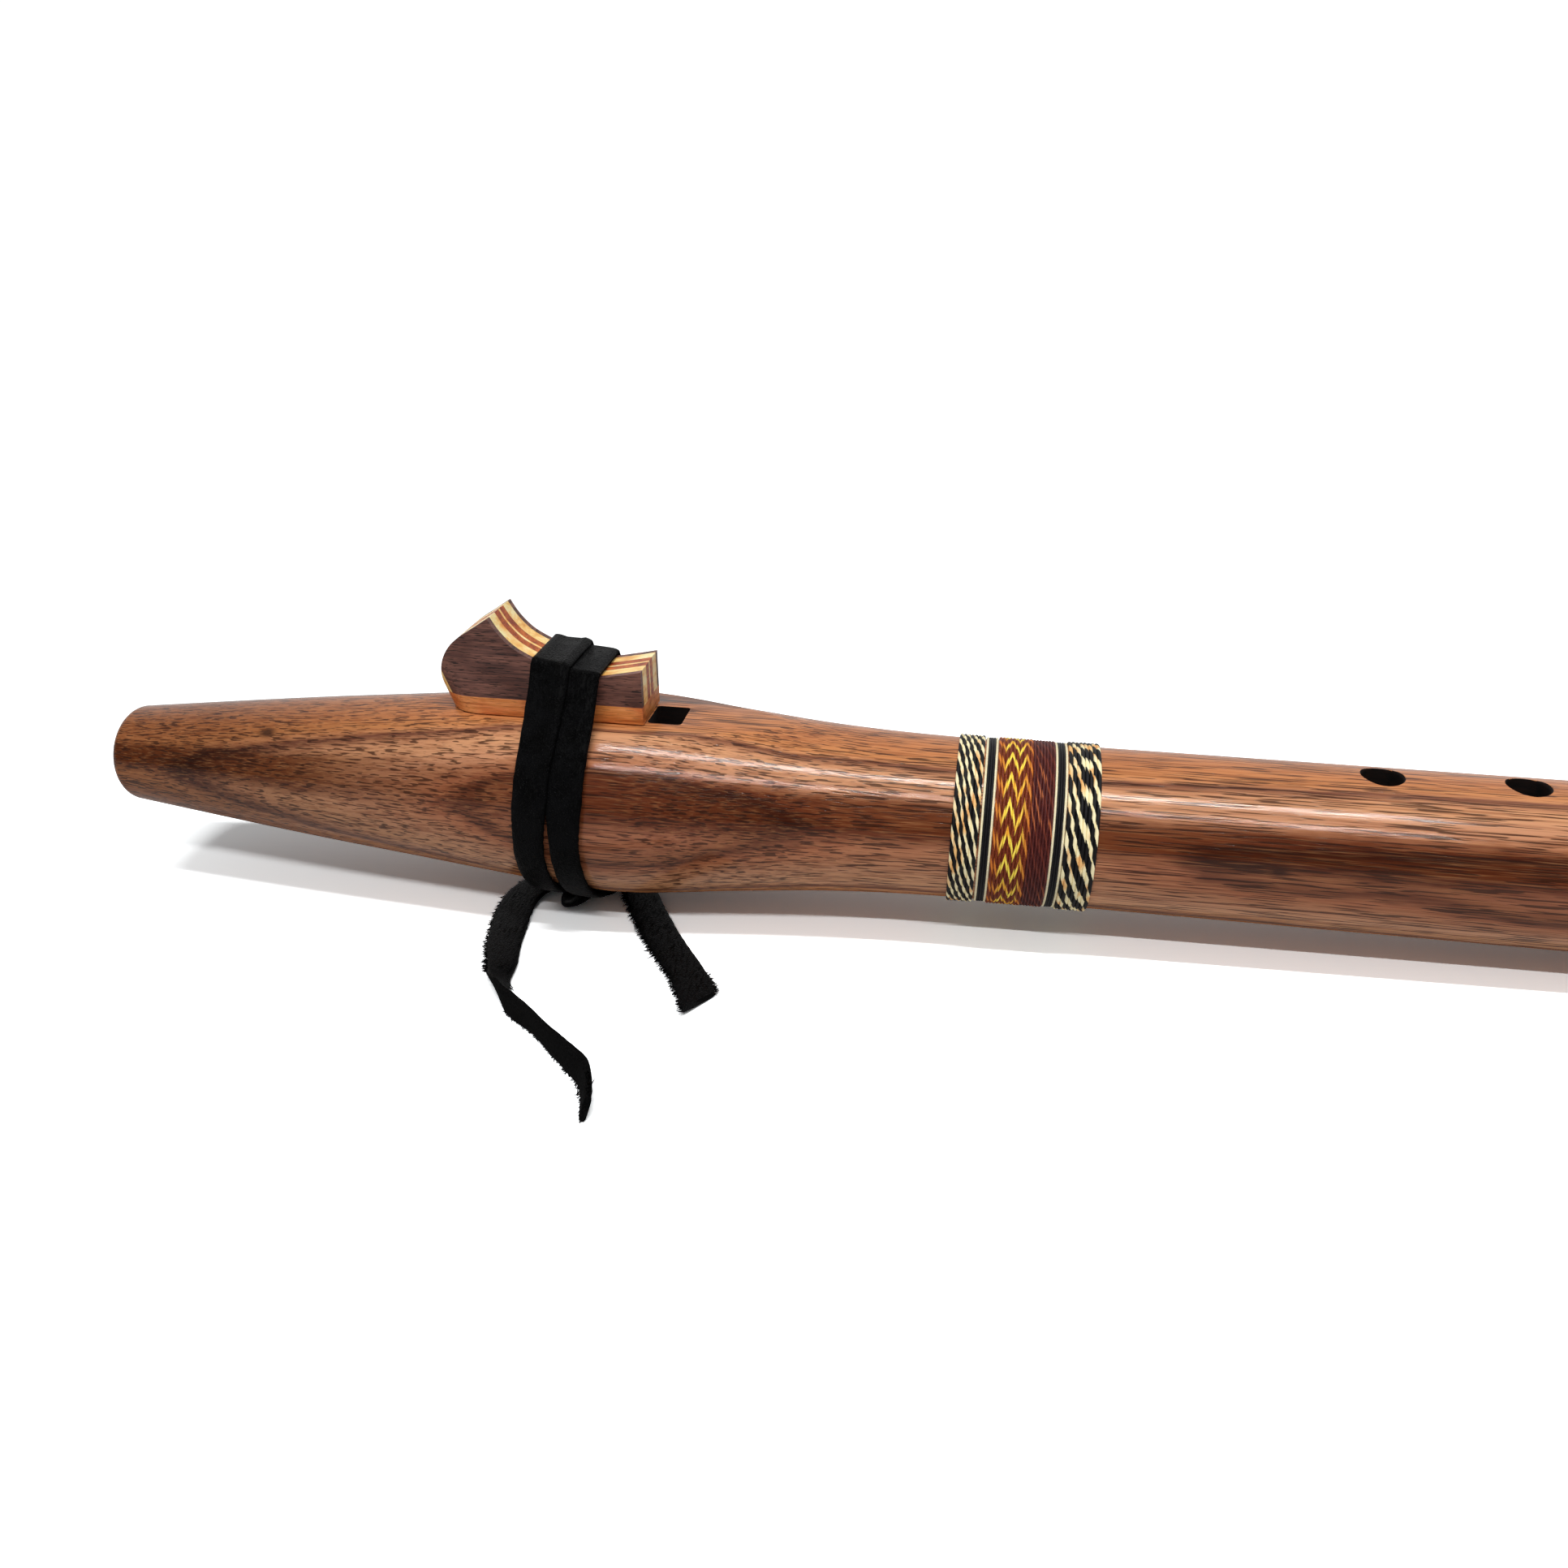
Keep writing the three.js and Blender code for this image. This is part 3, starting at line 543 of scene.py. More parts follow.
walnut = bpy.data.materials.new("oiled_walnut")
dark_inside = bpy.data.materials.new("dark_inside_walnut")
body = place(make_body(), "flute_body", ["body_upper_half", "body_lower_half"], walnut, "walnut")
body.data.materials.append(dark_inside)
to_flute = (flute_frame @ Matrix.Scale(MM, 4)).inverted()
# Faces deeper than this under the turned surface, and below the nest, take the nearly black inside
# colour.
rim_depth = 0.06
for face in body.data.polygons:
    centre = to_flute @ face.center
    end_distance = min(centre.x, body_length - centre.x)
    in_end = end_distance < 0.2 or (end_distance < mouth_round and centre.yz.length > 6)
    depth = body_radius(max(centre.x, 0)) - centre.yz.length
    if depth > rim_depth and centre.z < nest_height - 0.05 and not in_end:
        face.material_index = 1
print(body.name, "has", len(body.data.polygons), "faces")

# %% [markdown]
# ## Block
#
# Seven layers are glued side by side, sawn to the saddle outline, glued on a cherry base and sanded.
# Cutting one smooth solid by planes keeps every glue line flush, as sanding does.

# %% Block
saddle_shares = [
    (1, 0.55), (0.9, 0.505), (0.749, 0.458), (0.583, 0.525),
    (0.486, 0.606), (0.391, 0.718), (0.325, 0.861), (0.284, 1),
]
tail_shares = [(0.284, 1), (0.216, 0.906), (0.09, 0.718), (0.024, 0.495), (0, 0.257), (0.026, 0)]
layers = [
    ("block_cheek_near", 1.3, "dark_walnut"), ("block_maple_near", 2.7, "maple"),
    ("block_red_layer_near", 1.9, "red_wood"), ("block_centre_line", 0.66, "maple"),
    ("block_red_layer_far", 1.9, "red_wood"), ("block_maple_far", 2.7, "maple"),
    ("block_cheek_far", 1.3, "dark_walnut"),
]
block_width = sum(layer[1] for layer in layers)
half_width = block_width / 2
base_thickness = 3.6
tail_round_length = 7.5
tail_slope = 0.37
block_bottom_z = nest_height + 0.3
base_top_z = block_bottom_z + base_thickness


def block_curve(shares, per_span=8):
    """A run of the block's side view, in millimetres."""
    points = [
        Vector((block_tail_x + a * block_length, block_bottom_z + u * block_height, 0)) for a, u in shares
    ]
    return [(p.x, p.y) for p in through(points, per_span)]


def make_block():
    """The block in one piece: its side view, cut by its plan, whose round tail leans back."""
    side_view = [(block_front_x, block_bottom_z)] + block_curve(saddle_shares)
    side_view += block_curve(tail_shares)[1:]
    block = prism("block", side_view, -half_width, half_width, 1)
    rings = []
    for level in (-1, 30):
        back = block_tail_x + tail_round_length + tail_slope * (base_thickness / 2 - level)
        plan = [(130, -half_width), (130, half_width)]
        for i in range(33):
            angle = math.pi / 2 + math.pi * i / 32
            plan.append((back + tail_round_length * math.cos(angle), half_width * math.sin(angle)))
        rings.append([Vector((x, y, block_bottom_z + level)) for x, y in plan])
    return combine(block, [swept("plan", rings)], "INTERSECT")


# Colours of dark lines, middle, light lines and clouds, then line size in millimetres, roughness and
# strength of the pores.
wood_looks = {
    "cherry": (["#a85a28", "#dc8a48", "#f0a060", "#d8a078"], 0.8, 0.4, 0.3),
    "maple": (["#e8aa56", "#fddc90", "#fff0b8", "#f2c890"], 1.3, 0.4, 0),
    "red_wood": (["#7a2c0e", "#b4541c", "#cc6c2a", "#c89274"], 0.6, 0.45, 0.5),
    "dark_walnut": (["#3c2420", "#6c463d", "#84584a", "#967a76"], 0.4, 0.5, 0.85),
}
woods = {name: bpy.data.materials.new("sanded_" + name) for name in wood_looks}
whole_block = make_block()


def block_part(name, wood, y0, y1, z0, z1):
    """One glued piece: what a box leaves of the whole block."""
    part = whole_block.copy()
    part.data = whole_block.data.copy()
    part.name = name + "_wood"
    scene.collection.objects.link(part)
    box = prism("box", [(60, y0), (130, y0), (130, y1), (60, y1)], z0, z1)
    return place(combine(part, [box], "INTERSECT"), "tied_block", [name], woods[wood], wood)


block_parts = [block_part("block_base", "cherry", -10, 10, block_bottom_z - 5, base_top_z)]
y = -half_width
for name, thickness, wood in layers:
    y0 = y if y > -half_width else y - 2
    y1 = y + thickness if y + thickness < half_width - 0.01 else y + thickness + 2
    block_parts.append(block_part(name, wood, y0, y1, base_top_z, 60))
    y += thickness
bpy.data.objects.remove(whole_block)
print("block of", len(block_parts), "pieces,", round(block_width, 2), "mm wide")

# %% [markdown]
# ## Lace round the block and its knot
#
# One flat strip goes twice round the body and over the saddle, drawn tight. It is swept along the
# same route as its CAD solid, with finer steps.

# %% Lace


def saddle_height(x):
    """Height of the block's top under the lace."""
    curve = block_curve(saddle_shares, 24)
    return min(curve, key=lambda p: abs(p[0] - x))[1]


def cover(height_at, x, slides=(0,)):
    """Height and slope of the strip's underside over a curve along X, clear of it as it slides."""
    half = lace_width / 2
    slope = (height_at(x + half) - height_at(x - half)) / lace_width
    offsets = [-half + lace_width * i / 24 for i in range(25)]
    return max(height_at(x + a + s) - slope * a for a in offsets for s in slides), slope


def lace_cover(x):
    """Radius and slope of the strip's middle where it goes round the body."""
    radius, slope = cover(body_radius, x, [-3 + 5 * k / 24 for k in range(25)])
    return radius / math.cos(math.pi / 24) + 0.3 + lace_thickness / 2, slope


lace_top_x = block_front_x - 18.6
lace_side_x = lace_top_x - 2
lace_pitch = 7.75
# Angles in degrees are counted from straight below the body.
crossing_angle = 22
turns = [
    {
        "side_x": lace_side_x, "top_x": lace_top_x + 0.75, "width": 7.8, "lift": 1.2, "slim": 0.9,
        "ends": (26, crossing_angle),
    },
    {
        "side_x": lace_side_x + lace_pitch, "top_x": lace_top_x + 6.9, "width": 7.2, "lift": 0,
        "slim": 1.2, "ends": (crossing_angle, 26),
    },
]


def lace_turn(facts):
    """Rows of point, lie, outward direction, width and lift for one turn round body and block."""
    height, saddle_slope = cover(saddle_height, facts["top_x"])
    edge_y = block_width / 2
    reach = 0.1 + lace_thickness / 2
    side_radius = lace_cover(facts["side_x"])[0]
    leave = math.atan2(edge_y, height) + math.acos((side_radius - reach) / math.hypot(edge_y, height))
    start, end = [math.pi - math.radians(degrees) for degrees in facts["ends"]]
    rows = [(start + (leave - start) * i / 48, 1, 0) for i in range(49)]
    rows += [(leave, 1, i / 10) for i in range(1, 10)]
    rows += [(leave * (1 - i / 10), 1, 1) for i in range(10)]
    rows += [(leave * i / 10, -1, 1) for i in range(11)]
    rows += [(leave, -1, 1 - i / 10) for i in range(1, 10)]
    rows += [(leave + (end - leave) * i / 48, -1, 0) for i in range(49)]
    made = []
    for angle, side, on_block in rows:
        out = Vector((0, side * math.sin(angle), math.cos(angle)))
        up = ease(on_block, -1, 1) if on_block > 0 else 0.5 * ease(angle, leave + 1.0, leave)
        x = facts["side_x"] + (facts["top_x"] - facts["side_x"]) * up
        radius, slope = lace_cover(x)
        edge = Vector((x, side * edge_y, height)) + out * reach
        round_body = Vector((x, 0, 0)) + out * radius
        point = round_body.lerp(edge, on_block)
        lie = Vector((1, 0, saddle_slope)) * on_block
        lie += (Vector((1, 0, 0)) + out * slope) * (1 - on_block)
        lift = facts["lift"] * ease(up, 0.1, 0.75)
        width = lace_width + (facts["width"] - lace_width) * up
        if side < 0:
            width -= facts["slim"] * ease(angle, 1.2, 1.7) * ease(angle, 2.75, 2.45)
        made.append((point, lie, out, width, lift))
    return made


def make_lace():
    """The whole wound strip."""
    first, second = [lace_turn(facts) for facts in turns]
    low, high = first[-1][0], second[0][0]
    crossing = []
    for i in range(1, 12):
        t = i / 12
        angle = math.pi + math.radians(crossing_angle) * (2 * t - 1)
        out = Vector((0, -math.sin(angle), math.cos(angle)))
        radius = low.yz.length + (high.yz.length - low.yz.length) * t
        x = low.x + (high.x - low.x) * (3 * t * t - 2 * t ** 3)
        crossing.append((Vector((x, 0, 0)) + out * radius, Vector((1, 0, 0)), out, lace_width, 0))
    rows = first + crossing + second
    rings = []
    for i, (point, lie, out, width, lift) in enumerate(rows):
        forward = (rows[min(i + 1, len(rows) - 1)][0] - rows[max(i - 1, 0)][0]).normalized()
        wide = (lie - forward * lie.dot(forward)).normalized()
        thick = wide.cross(forward).normalized()
        if thick.dot(out) < 0:
            thick.negate()
        ring = strip_ring(point, wide, thick, width, lace_thickness, 32)
        for k, corner in enumerate(ring):
            across = (corner - point).dot(wide)
            droop = 0.12 * (2 * across / width) ** 4
            ragged = 0.07 * math.sin(i * 1.7 + 3 * math.sin(i * 0.37)) * abs(2 * across / width) ** 6
            ring[k] = corner + thick * (lift * ease(across, 0.2, 2.2) - droop) + wide * ragged
        rings.append(ring)
    return swept("lace_wound_strip", rings, runs_along([row[0] for row in rows]))


lace = place_leather(make_lace(), ["lace_wrap"], flute_frame)
print(lace.name, "has", len(lace.data.polygons), "faces")

# %% [markdown]
# ## Thread wraps
#
# Waxed thread of a light and a dark ply is wound turn against turn. Each ply shows as a long pointed
# dash that crosses the strand aslant, once in every twist. Each run is one real strand whose texture
# runs in twists, and a shift across the strand slants the dashes. In the middle zone the slant
# changes hand every two turns, which makes chevrons.

# %% Thread wraps
# Each run's name, start in millimetres, number of turns and thread size.
thread_runs = [
    ("thread_speckled_rear", 180.26, 7, 0.72), ("thread_cream_rear", 185.55, 1, 0.46),
    ("thread_black_rear", 186.03, 3, 0.45), ("thread_cream_rear", 187.4, 1, 0.46),
    ("thread_flame", 187.98, 10, 0.66), ("thread_burgundy", 194.57, 7, 0.6),
    ("thread_cream_front", 198.75, 1, 0.46), ("thread_black_front", 199.22, 3, 0.45),
    ("thread_cream_front", 200.6, 1, 0.46), ("thread_speckled_front", 201.22, 8, 0.75),
]
turn_length = 2 * math.pi * (barrel_radius + 0.3)
turn_steps = 96
# Length of a twist in millimetres, then for each turn, over and over, how many twists its dashes
# shift, and how far they slant and to which hand.
twists = {
    "thread_speckled_rear": (5.3, [0.58, 0.61, 0.55], [1.35]),
    "thread_speckled_front": (6.8, [-0.03, 0.92, 0.04, 0.78, 0.02], [0.95]),
    "thread_flame": (
        5.4, [-0.1, 0.36, -0.17, -0.3, 0.11, 0.46, -0.05, -0.42, 0.16, 0.3], [1.7, 1.7, -1.7, -1.7],
    ),
    "thread_burgundy": (4.6, [0.37, 0.62, 0.21, 0.48], [2.2]),
}
plain_twist = (2.4, [0.3], [1])
ply_lean = 0.16
yarns = {}


def make_thread(name, x0, count, size):
    """One run of thread, wound close, with its run counted in twists."""
    twist, shifts, hands = twists.get(name, plain_twist)
    whole_twists = round(turn_length / twist)
    rings, runs, leans = [], [], []
    phase = rng.random()
    waves = [(rng.uniform(0.12, 0.9), rng.uniform(0, 6.3), rng.uniform(0.02, 0.05)) for _ in range(5)]
    for i in range(round(count * turn_steps) + 1):
        angle = 2 * math.pi * i / turn_steps
        whole_turns = int(i / turn_steps + 0.25)
        out = Vector((0, -math.sin(angle), -math.cos(angle)))
        radius = size / 2 * (1 + 0.03 * math.sin(angle * 7 + phase * 9))
        x = x0 + size * angle / (2 * math.pi)
        centre = Vector((x, 0, 0)) + out * (body_radius(x) + radius - 0.03)
        rings.append([
            centre + (Vector((1, 0, 0)) * math.cos(a) + out * math.sin(a)) * radius * 1.03
            for a in angles_round(12)
        ])
        if i:
            phase += (whole_twists + shifts[whole_turns % len(shifts)]) / turn_steps
        runs.append(phase + sum(size * math.sin(rate * angle + start) for rate, start, size in waves))
        leans.append(ply_lean * hands[whole_turns % len(hands)])
    return swept(name + "_yarn", rings, runs, leans)


for name, x0, count, size in thread_runs:
    yarn = name.split("_")[1] + "_thread"
    if yarn not in yarns:
        yarns[yarn] = bpy.data.materials.new("waxed_" + yarn)
    place(make_thread(name, x0, count, size), "flute_body", [name], yarns[yarn], yarn, crease=80)
print(len(thread_runs), "runs of thread")

# %% [markdown]
# ## Woods
#
# The body is plain-sawn walnut, oiled and rubbed. A flat picture of grain would smear round a turned
# form, so the growth layers are a field in space, nearly square to the near side, and turning cuts
# them into long ovals and a dark flame. A band of painted shade runs along the near side just above
# the middle, where the body faces neither the lamps nor the table; it is weakest halfway along the
# head. Pores are tubes 10 mm long: lines on the barrel, short dashes where the head tapers through
# them. They are drawn about 0.3 mm wide, twice the real width, to show at all. The finish is a thin
# clear coat over satin wood, which gives the barrel its narrow streaks of light.

# %% Grain
pore_length = 10
pore_width = 0.31


def bare_tree(owner):
    """The node tree of a material or world, emptied."""
    owner.use_nodes = True
    owner.node_tree.nodes.clear()
    return owner.node_tree


def flute_position(tree, cell=(1, 1, 1), shift=(0, 0, 0)):
    """Position in the flute's own frame, counted in cells of some millimetres each way."""
    here = add(tree, "Mapping", {
        "Vector": add(tree, "TexCoord").node.outputs["Object"], "Location": flute_frame.translation,
        "Rotation": flute_frame.to_euler(), "Scale": (MM, MM, MM),
    }, vector_type="TEXTURE")
    per_cell = [1 / size for size in cell]
    return add(tree, "Mapping", {"Vector": here, "Scale": per_cell, "Location": shift})


def washed(tree, base, *washes):
    """A base with washes over it: colour, a field, its range, the most it gives, and how it blends."""
    for colour, field, low, high, most, way in washes:
        share = add(tree, "MapRange", {0: field, 1: low, 2: high, 4: most})
        base = add(tree, "Mix", {0: share, 6: base, 7: linear(colour)}, data_type="RGBA", blend_type=way)
    return base


# %% Walnut
walnut_layers = [
    (0, "#8a5230"), (0.08, "#bd7a48"), (0.13, "#5e3421"), (0.17, "#a96b41"), (0.26, "#ba7746"),
    (0.36, "#945834"), (0.4, "#64381f"), (0.43, "#b87445"), (0.52, "#c47c48"), (0.61, "#c47c4a"),
    (0.653, "#c8834f"), (0.669, "#cc8a5c"), (0.679, "#764634"), (0.69, "#a06a4c"), (0.704, "#cc9068"),
    (0.722, "#d2986e"), (0.76, "#c88e6a"), (0.781, "#b87c59"), (0.797, "#a86848"), (0.806, "#643624"),
    (0.816, "#925a3c"), (0.833, "#a06448"), (0.862, "#a2664a"), (0.9, "#a0643e"), (1, "#8a5230"),
]
layer_range = (-24, 30)
layer_tilt = math.radians(10)
layer_slope = (80, 520, 10.8)
# The band of painted shade: its angle above level on the near side, and the place along X where it is
# weakest.
shade_band_angle = math.radians(22)
shade_band_weakest_x = 78
dark_knots = [(38.3, -8.8, 11.5), (239.4, -15.7, 2.5)]
knot_size = 1.5


def make_walnut(material):
    """Oiled walnut: growth layers, darker streaks, fibres, pores, two pin knots and a band of painted
    shade.
    """
    t = bare_tree(material)
    here = flute_position(t)
    waves = add(t, "TexNoise", {"Vector": flute_position(t, (55, 22, 22)), "Scale": 1, "Detail": 2})
    ripple = add(t, "TexNoise", {
        "Vector": flute_position(t, (16, 4, 4), (3, 1, 7)), "Scale": 1, "Detail": 3, "Roughness": 0.6,
    })
    streaks = add(t, "TexNoise", {
        "Vector": flute_position(t, (45, 0.6, 0.6)), "Scale": 1, "Detail": 3, "Roughness": 0.65,
    })
    fibres = add(t, "TexNoise", {
        "Vector": flute_position(t, (12, 0.25, 0.25)), "Scale": 1, "Detail": 2, "Roughness": 0.6,
    })
    pores = add(t, "TexNoise", {
        "Vector": flute_position(t, (pore_length, pore_width, pore_width)),
        "Scale": 1, "Detail": 1, "Roughness": 0.4,
    })
    crowd = add(t, "TexNoise", {
        "Vector": flute_position(t, (30, 4, 4), (9, 2, 5)), "Scale": 1, "Detail": 2,
    })

    square = (0, -math.cos(layer_tilt), math.sin(layer_tilt))
    depth = add(t, "VectorMath", {0: here, 1: square}, operation="DOT_PRODUCT")
    for noise, sway in ((waves, 1.3), (ripple, 0.7)):
        depth = add(t, "Math", {0: depth, 1: add(t, "MapRange", {0: noise, 3: -sway, 4: sway})})
    along = add(t, "SeparateXYZ", {0: here})
    # Painted shade: a band that darkens the near side just above the middle, where the body faces neither
    # the lamps nor the table; it is weakest halfway along the head.
    shade_band = add(t, "VectorMath", {0: here, 1: (0, 1, 1)}, operation="MULTIPLY")
    shade_band = add(t, "VectorMath", {0: shade_band}, operation="NORMALIZE")
    toward = (0, -math.cos(shade_band_angle), math.sin(shade_band_angle))
    shade_band = add(t, "VectorMath", {0: shade_band, 1: toward}, operation="DOT_PRODUCT")
    shade_band = add(t, "Math", {0: shade_band, 1: add(t, "MapRange", {0: ripple, 3: -0.03, 4: 0.03})})
    shade_band = add(t, "MapRange", {0: shade_band, 1: 0.945, 2: 0.985})
    pale = add(t, "Math", {0: along, 1: shade_band_weakest_x}, operation="SUBTRACT")
    pale = add(t, "Math", {0: pale}, operation="ABSOLUTE")
    pale = add(t, "MapRange", {0: pale, 1: 8, 2: 34, 3: 0.4})
    shade_band = add(t, "Math", {0: shade_band, 1: pale}, operation="MULTIPLY")
    start, end, rise = layer_slope
    depth = add(t, "Math", {0: depth, 1: add(t, "MapRange", {0: along, 1: start, 2: end, 4: rise})})
    low, high = layer_range
    depth = add(t, "MapRange", {0: depth, 1: low, 2: high})
    colours = [(level, linear(colour)) for level, colour in walnut_layers]
    base = add(t, "ValToRGB", {0: depth}, colours)

    edge = add(t, "MapRange", {0: crowd, 1: 0.3, 2: 0.7, 3: 0.585, 4: 0.54})
    raised = add(t, "Math", {0: pores, 1: edge}, operation="SUBTRACT")
    pore = add(t, "MapRange", {0: raised, 2: 0.04})
    dark = add(t, "Math", {0: pore, 1: 0.78}, operation="MULTIPLY")
    for centre in dark_knots:
        away = add(t, "VectorMath", {0: here, 1: centre}, operation="SUBTRACT")
        away = add(t, "VectorMath", {0: away, 1: (0.55, 1, 1)}, operation="MULTIPLY")
        away = add(t, "VectorMath", {0: away}, operation="LENGTH")
        spot = add(t, "MapRange", {0: away, 1: knot_size, 2: knot_size * 0.3, 4: 0.85})
        dark = add(t, "Math", {0: dark, 1: spot}, operation="MAXIMUM")
    # The colour darkens towards the mouth end; the next wash is the band of painted shade.
    toned = washed(
        t, base, ("#b8b2b2", along, 95, 25, 1, "MULTIPLY"), ("#9c7f6a", shade_band, 0, 1, 1, "MULTIPLY"),
        ("#8f5a3c", streaks, 0.46, 0.64, 0.5, "MULTIPLY"), ("#e0a06a", fibres, 0.5, 0.75, 0.2, "MIX"),
        ("#2c150c", dark, 0, 1, 1, "MIX"),
    )

    height = add(t, "Math", {0: fibres, 1: pore}, operation="SUBTRACT")
    uneven = add(t, "Bump", {"Strength": 1, "Distance": 0.07 * MM, "Height": height})
    filled = add(t, "Bump", {"Strength": 1, "Distance": 0.014 * MM, "Height": height})
    add(t, "OutputMaterial", {"Surface": add(t, "BsdfPrincipled", {
        "Base Color": toned, "Specular IOR Level": 0.02,
        "Roughness": add(t, "MapRange", {0: streaks, 1: 0.3, 2: 0.7, 3: 0.36, 4: 0.5}),
        "Normal": uneven, "Coat Weight": 0.45, "Coat Roughness": 0.1, "Coat Normal": filled,
    })})


def make_dark_inside(material):
    """The bored and cut inside of the walnut, nearly black."""
    t = bare_tree(material)
    mottle = add(t, "TexNoise", {"Vector": flute_position(t, (6, 1, 1)), "Scale": 1, "Detail": 3})
    shade = washed(t, linear("#050302"), ("#190b06", mottle, 0.35, 0.65, 1, "MIX"))
    add(t, "OutputMaterial", {"Surface": add(t, "BsdfPrincipled", {
        "Base Color": shade, "Roughness": 0.75, "Specular IOR Level": 0.2,
        "Normal": add(t, "Bump", {"Strength": 0.5, "Distance": 0.1 * MM, "Height": mottle}),
    })})


make_walnut(walnut)
make_dark_inside(dark_inside)
print("walnut has", len(walnut.node_tree.nodes), "nodes")

# %% [markdown]
# ## Block woods
#
# Four sanded and oiled woods: cherry with fine pores, pale maple with faint lines, bloodwood with
# darker lines, and dark walnut with open pores. One recipe takes what differs as numbers.

# %% Block woods


def make_block_wood(material, colours, line_size, roughness, pores):
    """One of the sanded woods."""
    t = bare_tree(material)
    lines = add(t, "TexNoise", {
        "Vector": flute_position(t, (14, 3, line_size), (2, 8, 1)),
        "Scale": 1, "Detail": 3, "Roughness": 0.6,
    })
    fibres = add(t, "TexNoise", {
        "Vector": flute_position(t, (5, 0.2, 0.2)), "Scale": 1, "Detail": 2, "Roughness": 0.6,
    })
    clouds = add(t, "TexNoise", {
        "Vector": flute_position(t, (8, 3.5, 4), (5, 1, 3)), "Scale": 1, "Detail": 2,
    })
    grain = add(t, "TexNoise", {
        "Vector": flute_position(t, (2.2, 0.22, 0.22), (1, 5, 8)),
        "Scale": 1, "Detail": 1, "Roughness": 0.4,
    })
    toned = add(t, "ValToRGB", {0: add(t, "MapRange", {0: lines, 1: 0.3, 2: 0.7})}, [
        (0, linear(colours[0])), (0.42, linear(colours[1])), (0.75, linear(colours[2])),
    ])
    pore = add(t, "MapRange", {0: grain, 1: 0.6, 2: 0.65, 4: pores})
    toned = washed(
        t, toned, (colours[3], clouds, 0.42, 0.68, 0.7, "MULTIPLY"),
        (colours[0], fibres, 0.5, 0.7, 0.4, "MIX"), ("#1a0d0a", pore, 0, 1, 1, "MIX"),
    )
    height = add(t, "Math", {0: fibres, 1: pore}, operation="SUBTRACT")
    add(t, "OutputMaterial", {"Surface": add(t, "BsdfPrincipled", {
        "Base Color": toned, "Roughness": roughness, "Specular IOR Level": 0.35,
        "Normal": add(t, "Bump", {"Strength": 0.6, "Distance": 0.05 * MM, "Height": height}),
    })})


for name, material in woods.items():
    make_block_wood(material, *wood_looks[name])
print(len(woods), "block woods made")

# %% [markdown]
# ## Leather and thread
#
# Latigo has a pebbled, waxed grain side and a fibrous flesh side; a strip's texture coordinates tell
# the two apart. Dyed through, it is nearly black with a low sheen. Thread is dull and fibrous.

# %% Leather
pebble_size = 0.5


def make_leather(material):
    """Black leather with a grain side and a flesh side."""
    t = bare_tree(material)
    share = add(t, "SeparateXYZ", {0: add(t, "UVMap", uv_map="run")}).node.outputs["Y"]
    flesh = add(t, "MapRange", {0: share, 1: 0.49, 2: 0.52})
    warp = add(t, "TexNoise", {"Vector": flute_position(t, (1.1, 1.1, 1.1)), "Scale": 1, "Detail": 2})
    bent = add(t, "VectorMath", {0: flute_position(t), 1: warp.node.outputs["Color"]})
    pebbles = add(t, "TexVoronoi", {
        "Vector": bent, "Scale": 1 / pebble_size,
    }, feature="DISTANCE_TO_EDGE")
    creases = add(t, "TexNoise", {
        "Vector": flute_position(t, (0.45, 2.4, 1.6)), "Scale": 1, "Detail": 3, "Roughness": 0.65,
    })
    fuzz = add(t, "TexNoise", {
        "Vector": flute_position(t, (0.25, 0.25, 0.5)), "Scale": 1, "Detail": 3, "Roughness": 0.7,
    })
    clouds = add(t, "TexNoise", {"Vector": flute_position(t, (5, 5, 5)), "Scale": 1, "Detail": 3})
    grain = add(t, "Math", {
        0: add(t, "MapRange", {0: pebbles, 2: 0.3}),
        1: add(t, "MapRange", {0: creases, 1: 0.4, 2: 0.58}),
    }, operation="MULTIPLY")
    height = add(t, "Mix", {0: flesh, 2: grain, 3: fuzz})
    skin = washed(t, linear("#040404"), ("#0b0b0c", clouds, 0.35, 0.65, 1, "MIX"))
    nap = washed(t, linear("#050505"), ("#161515", fuzz, 0.4, 0.7, 1, "MIX"))
    add(t, "OutputMaterial", {"Surface": add(t, "BsdfPrincipled", {
        "Base Color": add(t, "Mix", {0: flesh, 6: skin, 7: nap}, data_type="RGBA"),
        "Roughness": add(t, "Mix", {
            0: flesh, 2: add(t, "MapRange", {0: clouds, 1: 0.3, 2: 0.7, 3: 0.3, 4: 0.42}), 3: 0.95,
        }),
        "Specular IOR Level": 0.03,
        "Normal": add(t, "Bump", {"Strength": 1, "Distance": 0.16 * MM, "Height": height}),
    })})


make_leather(leather)
print("leather has", len(leather.node_tree.nodes), "nodes")

# %% Thread
flame_zone = (187.65, 194.6)
# Share of the flame zone's width, and how much of the edge colour its dashes have there.
flame_edges = [(0, 1), (0.2, 0.8), (0.3, 0), (0.74, 0), (0.84, 0.7), (1, 1)]


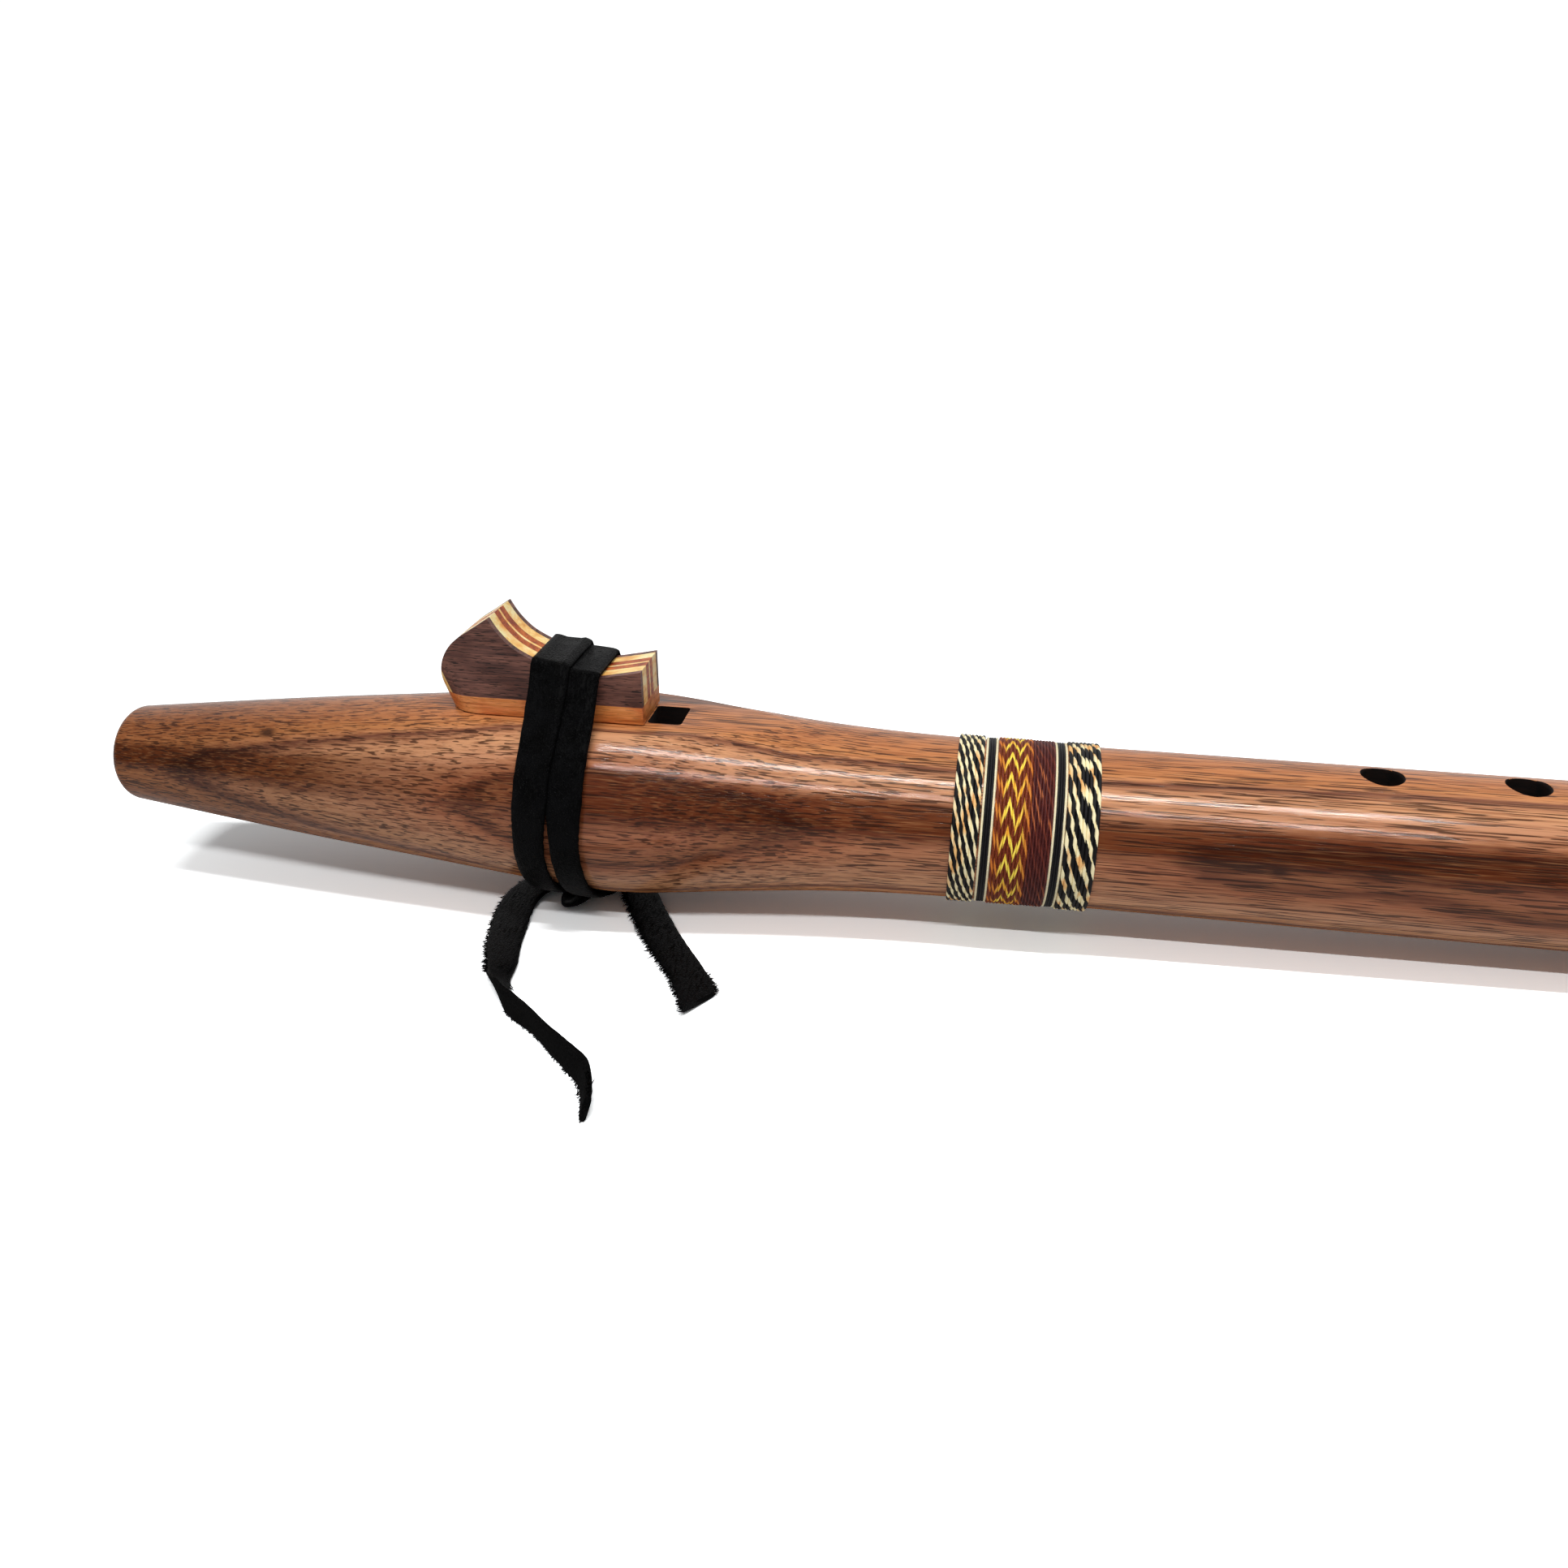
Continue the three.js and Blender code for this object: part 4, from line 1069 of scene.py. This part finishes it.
def make_yarn(material, plain, light, ply=None, rich=None, edge=None, share=0.5):
    """Waxed thread: fibre colours, then the other ply's two colours, edge colour and share."""
    t = bare_tree(material)
    fluff = add(t, "TexNoise", {
        "Vector": flute_position(t, (0.16, 0.35, 0.35)), "Scale": 1, "Detail": 2, "Roughness": 0.6,
    })
    tint = washed(t, linear(plain), (light, fluff, 0.5, 0.72, 1, "MIX"))
    if ply:
        patches = add(t, "TexNoise", {
            "Vector": flute_position(t, (2.5, 5, 5), (4, 4, 1)), "Scale": 1, "Detail": 1,
        })
        bright = washed(t, linear(ply), (rich, patches, 0.53, 0.64, 1, "MIX"))
        if edge:
            x = add(t, "SeparateXYZ", {0: flute_position(t)})
            zone = add(t, "MapRange", {0: x, 1: flame_zone[0], 2: flame_zone[1]})
            zone = add(t, "ValToRGB", {0: zone}, [(at, (v, v, v, 1)) for at, v in flame_edges])
            bright = washed(t, bright, (edge, zone, 0, 1, 1, "MIX"))
        twist = add(t, "SeparateXYZ", {0: add(t, "UVMap", uv_map="run")})
        away = add(t, "Math", {0: twist}, operation="FRACT")
        away = add(t, "Math", {0: away, 1: 0.5}, operation="SUBTRACT")
        away = add(t, "Math", {0: away}, operation="ABSOLUTE")
        away = add(t, "Math", {0: away, 1: add(t, "MapRange", {0: fluff, 3: -0.05, 4: 0.05})})
        other = add(t, "MapRange", {0: away, 1: 0.49 - share / 2, 2: 0.51 - share / 2})
        tint = add(t, "Mix", {0: other, 6: tint, 7: bright}, data_type="RGBA")
    add(t, "OutputMaterial", {"Surface": add(t, "BsdfPrincipled", {
        "Base Color": tint, "Roughness": 0.6, "Specular IOR Level": 0.25,
        "Normal": add(t, "Bump", {"Strength": 0.8, "Distance": 0.06 * MM, "Height": fluff}),
    })})


make_yarn(yarns["speckled_thread"], "#060508", "#121015", "#fff2c4", "#f4c07c", share=0.4)
make_yarn(yarns["cream_thread"], "#efe2b8", "#fffbe6")
make_yarn(yarns["black_thread"], "#060508", "#1c1a20")
make_yarn(yarns["flame_thread"], "#6a2810", "#a04a1c", "#ffe458", "#f6b83c", "#d2702a", 0.32)
make_yarn(yarns["burgundy_thread"], "#421412", "#6a2820", "#6e3024", "#b4643c", share=0.24)
print("thread materials made")

# %% [markdown]
# ## Table and light
#
# A white sweep under two strip lights above the camera's side, whose soft shadow edges show on the
# table. Further from the flute the table turns into plain white. Only the camera and mirrored rays
# see it that bright: the flute gets the light of a plain table.

# %% Table


def seen_white(tree, y, low, high):
    """1 for camera rays, and for mirrored rays where y is past the flute; otherwise 0."""
    rays = add(tree, "LightPath")
    mirrored = add(tree, "Math", {
        0: rays.node.outputs["Is Glossy Ray"], 1: rays.node.outputs["Is Transmission Ray"],
    }, operation="MAXIMUM")
    behind = add(tree, "MapRange", {0: y, 1: low, 2: high})
    mirrored = add(tree, "Math", {0: mirrored, 1: behind}, operation="MULTIPLY")
    return add(tree, "Math", {0: rays, 1: mirrored}, operation="MAXIMUM")


floor = swept("table", [
    [Vector((x, y, z)) for x, y in ((-6000, -6000), (6000, -6000), (6000, 6000), (-6000, 6000))]
    for z in (-10, 0)
])
floor.data.transform(Matrix.Scale(MM, 4))
paper = bpy.data.materials.new("white_table")
t = bare_tree(paper)
on_table = add(t, "TexCoord").node.outputs["Object"]
away = add(t, "VectorMath", {0: on_table, 1: (0.35, 1, 0)}, operation="MULTIPLY")
away = add(t, "VectorMath", {0: away}, operation="LENGTH")
near = add(t, "BsdfDiffuse", {"Color": add(t, "Mix", {
    0: add(t, "LightPath"), 6: linear("#c8c8c8"), 7: [1.9, 1.95, 1.97, 1],
}, data_type="RGBA")})
white = seen_white(t, add(t, "SeparateXYZ", {0: on_table}).node.outputs["Y"], -0.05, 0.05)
far = add(t, "Emission", {
    "Color": linear("#ffffff"), "Strength": add(t, "MapRange", {0: white, 3: 0.55, 4: 1.05}),
})
add(t, "OutputMaterial", {"Surface": add(t, "MixShader", {
    0: add(t, "MapRange", {0: away, 1: 0.1, 2: 0.22}), 1: near, 2: far,
})})
floor.data.materials.append(paper)

# %% Light
scene.world = bpy.data.worlds.new("studio")
t = bare_tree(scene.world)
way = add(t, "SeparateXYZ", {0: add(t, "TexCoord")}).node.outputs
sky = add(t, "MapRange", {0: way["Z"], 3: 0.06, 4: 0.32})
white = seen_white(t, way["Y"], 0.1, 0.5)
add(t, "OutputWorld", {"Surface": add(t, "Background", {
    "Color": linear("#ffffff"), "Strength": add(t, "Mix", {0: white, 2: sky, 3: 1.05}),
})})


def strip_light(name, lean, power, width=0.04, distance=1.3, length=1):
    """A long softbox above the flute, leaning towards the camera's side by some degrees."""
    lamp = in_scene(name, bpy.data.lights.new(name, "AREA"))
    lamp.data.shape = "RECTANGLE"
    lamp.data.size = length
    lamp.data.size_y = width
    lamp.data.energy = power
    lean = math.radians(lean)
    lamp.rotation_euler = (-lean, 0, 0)
    lamp.location = (0, -distance * math.sin(lean), distance * math.cos(lean))


strip_light("strip_high", 16, 13.5)
strip_light("strip_low", 37, 18.5)
print("table and light made")
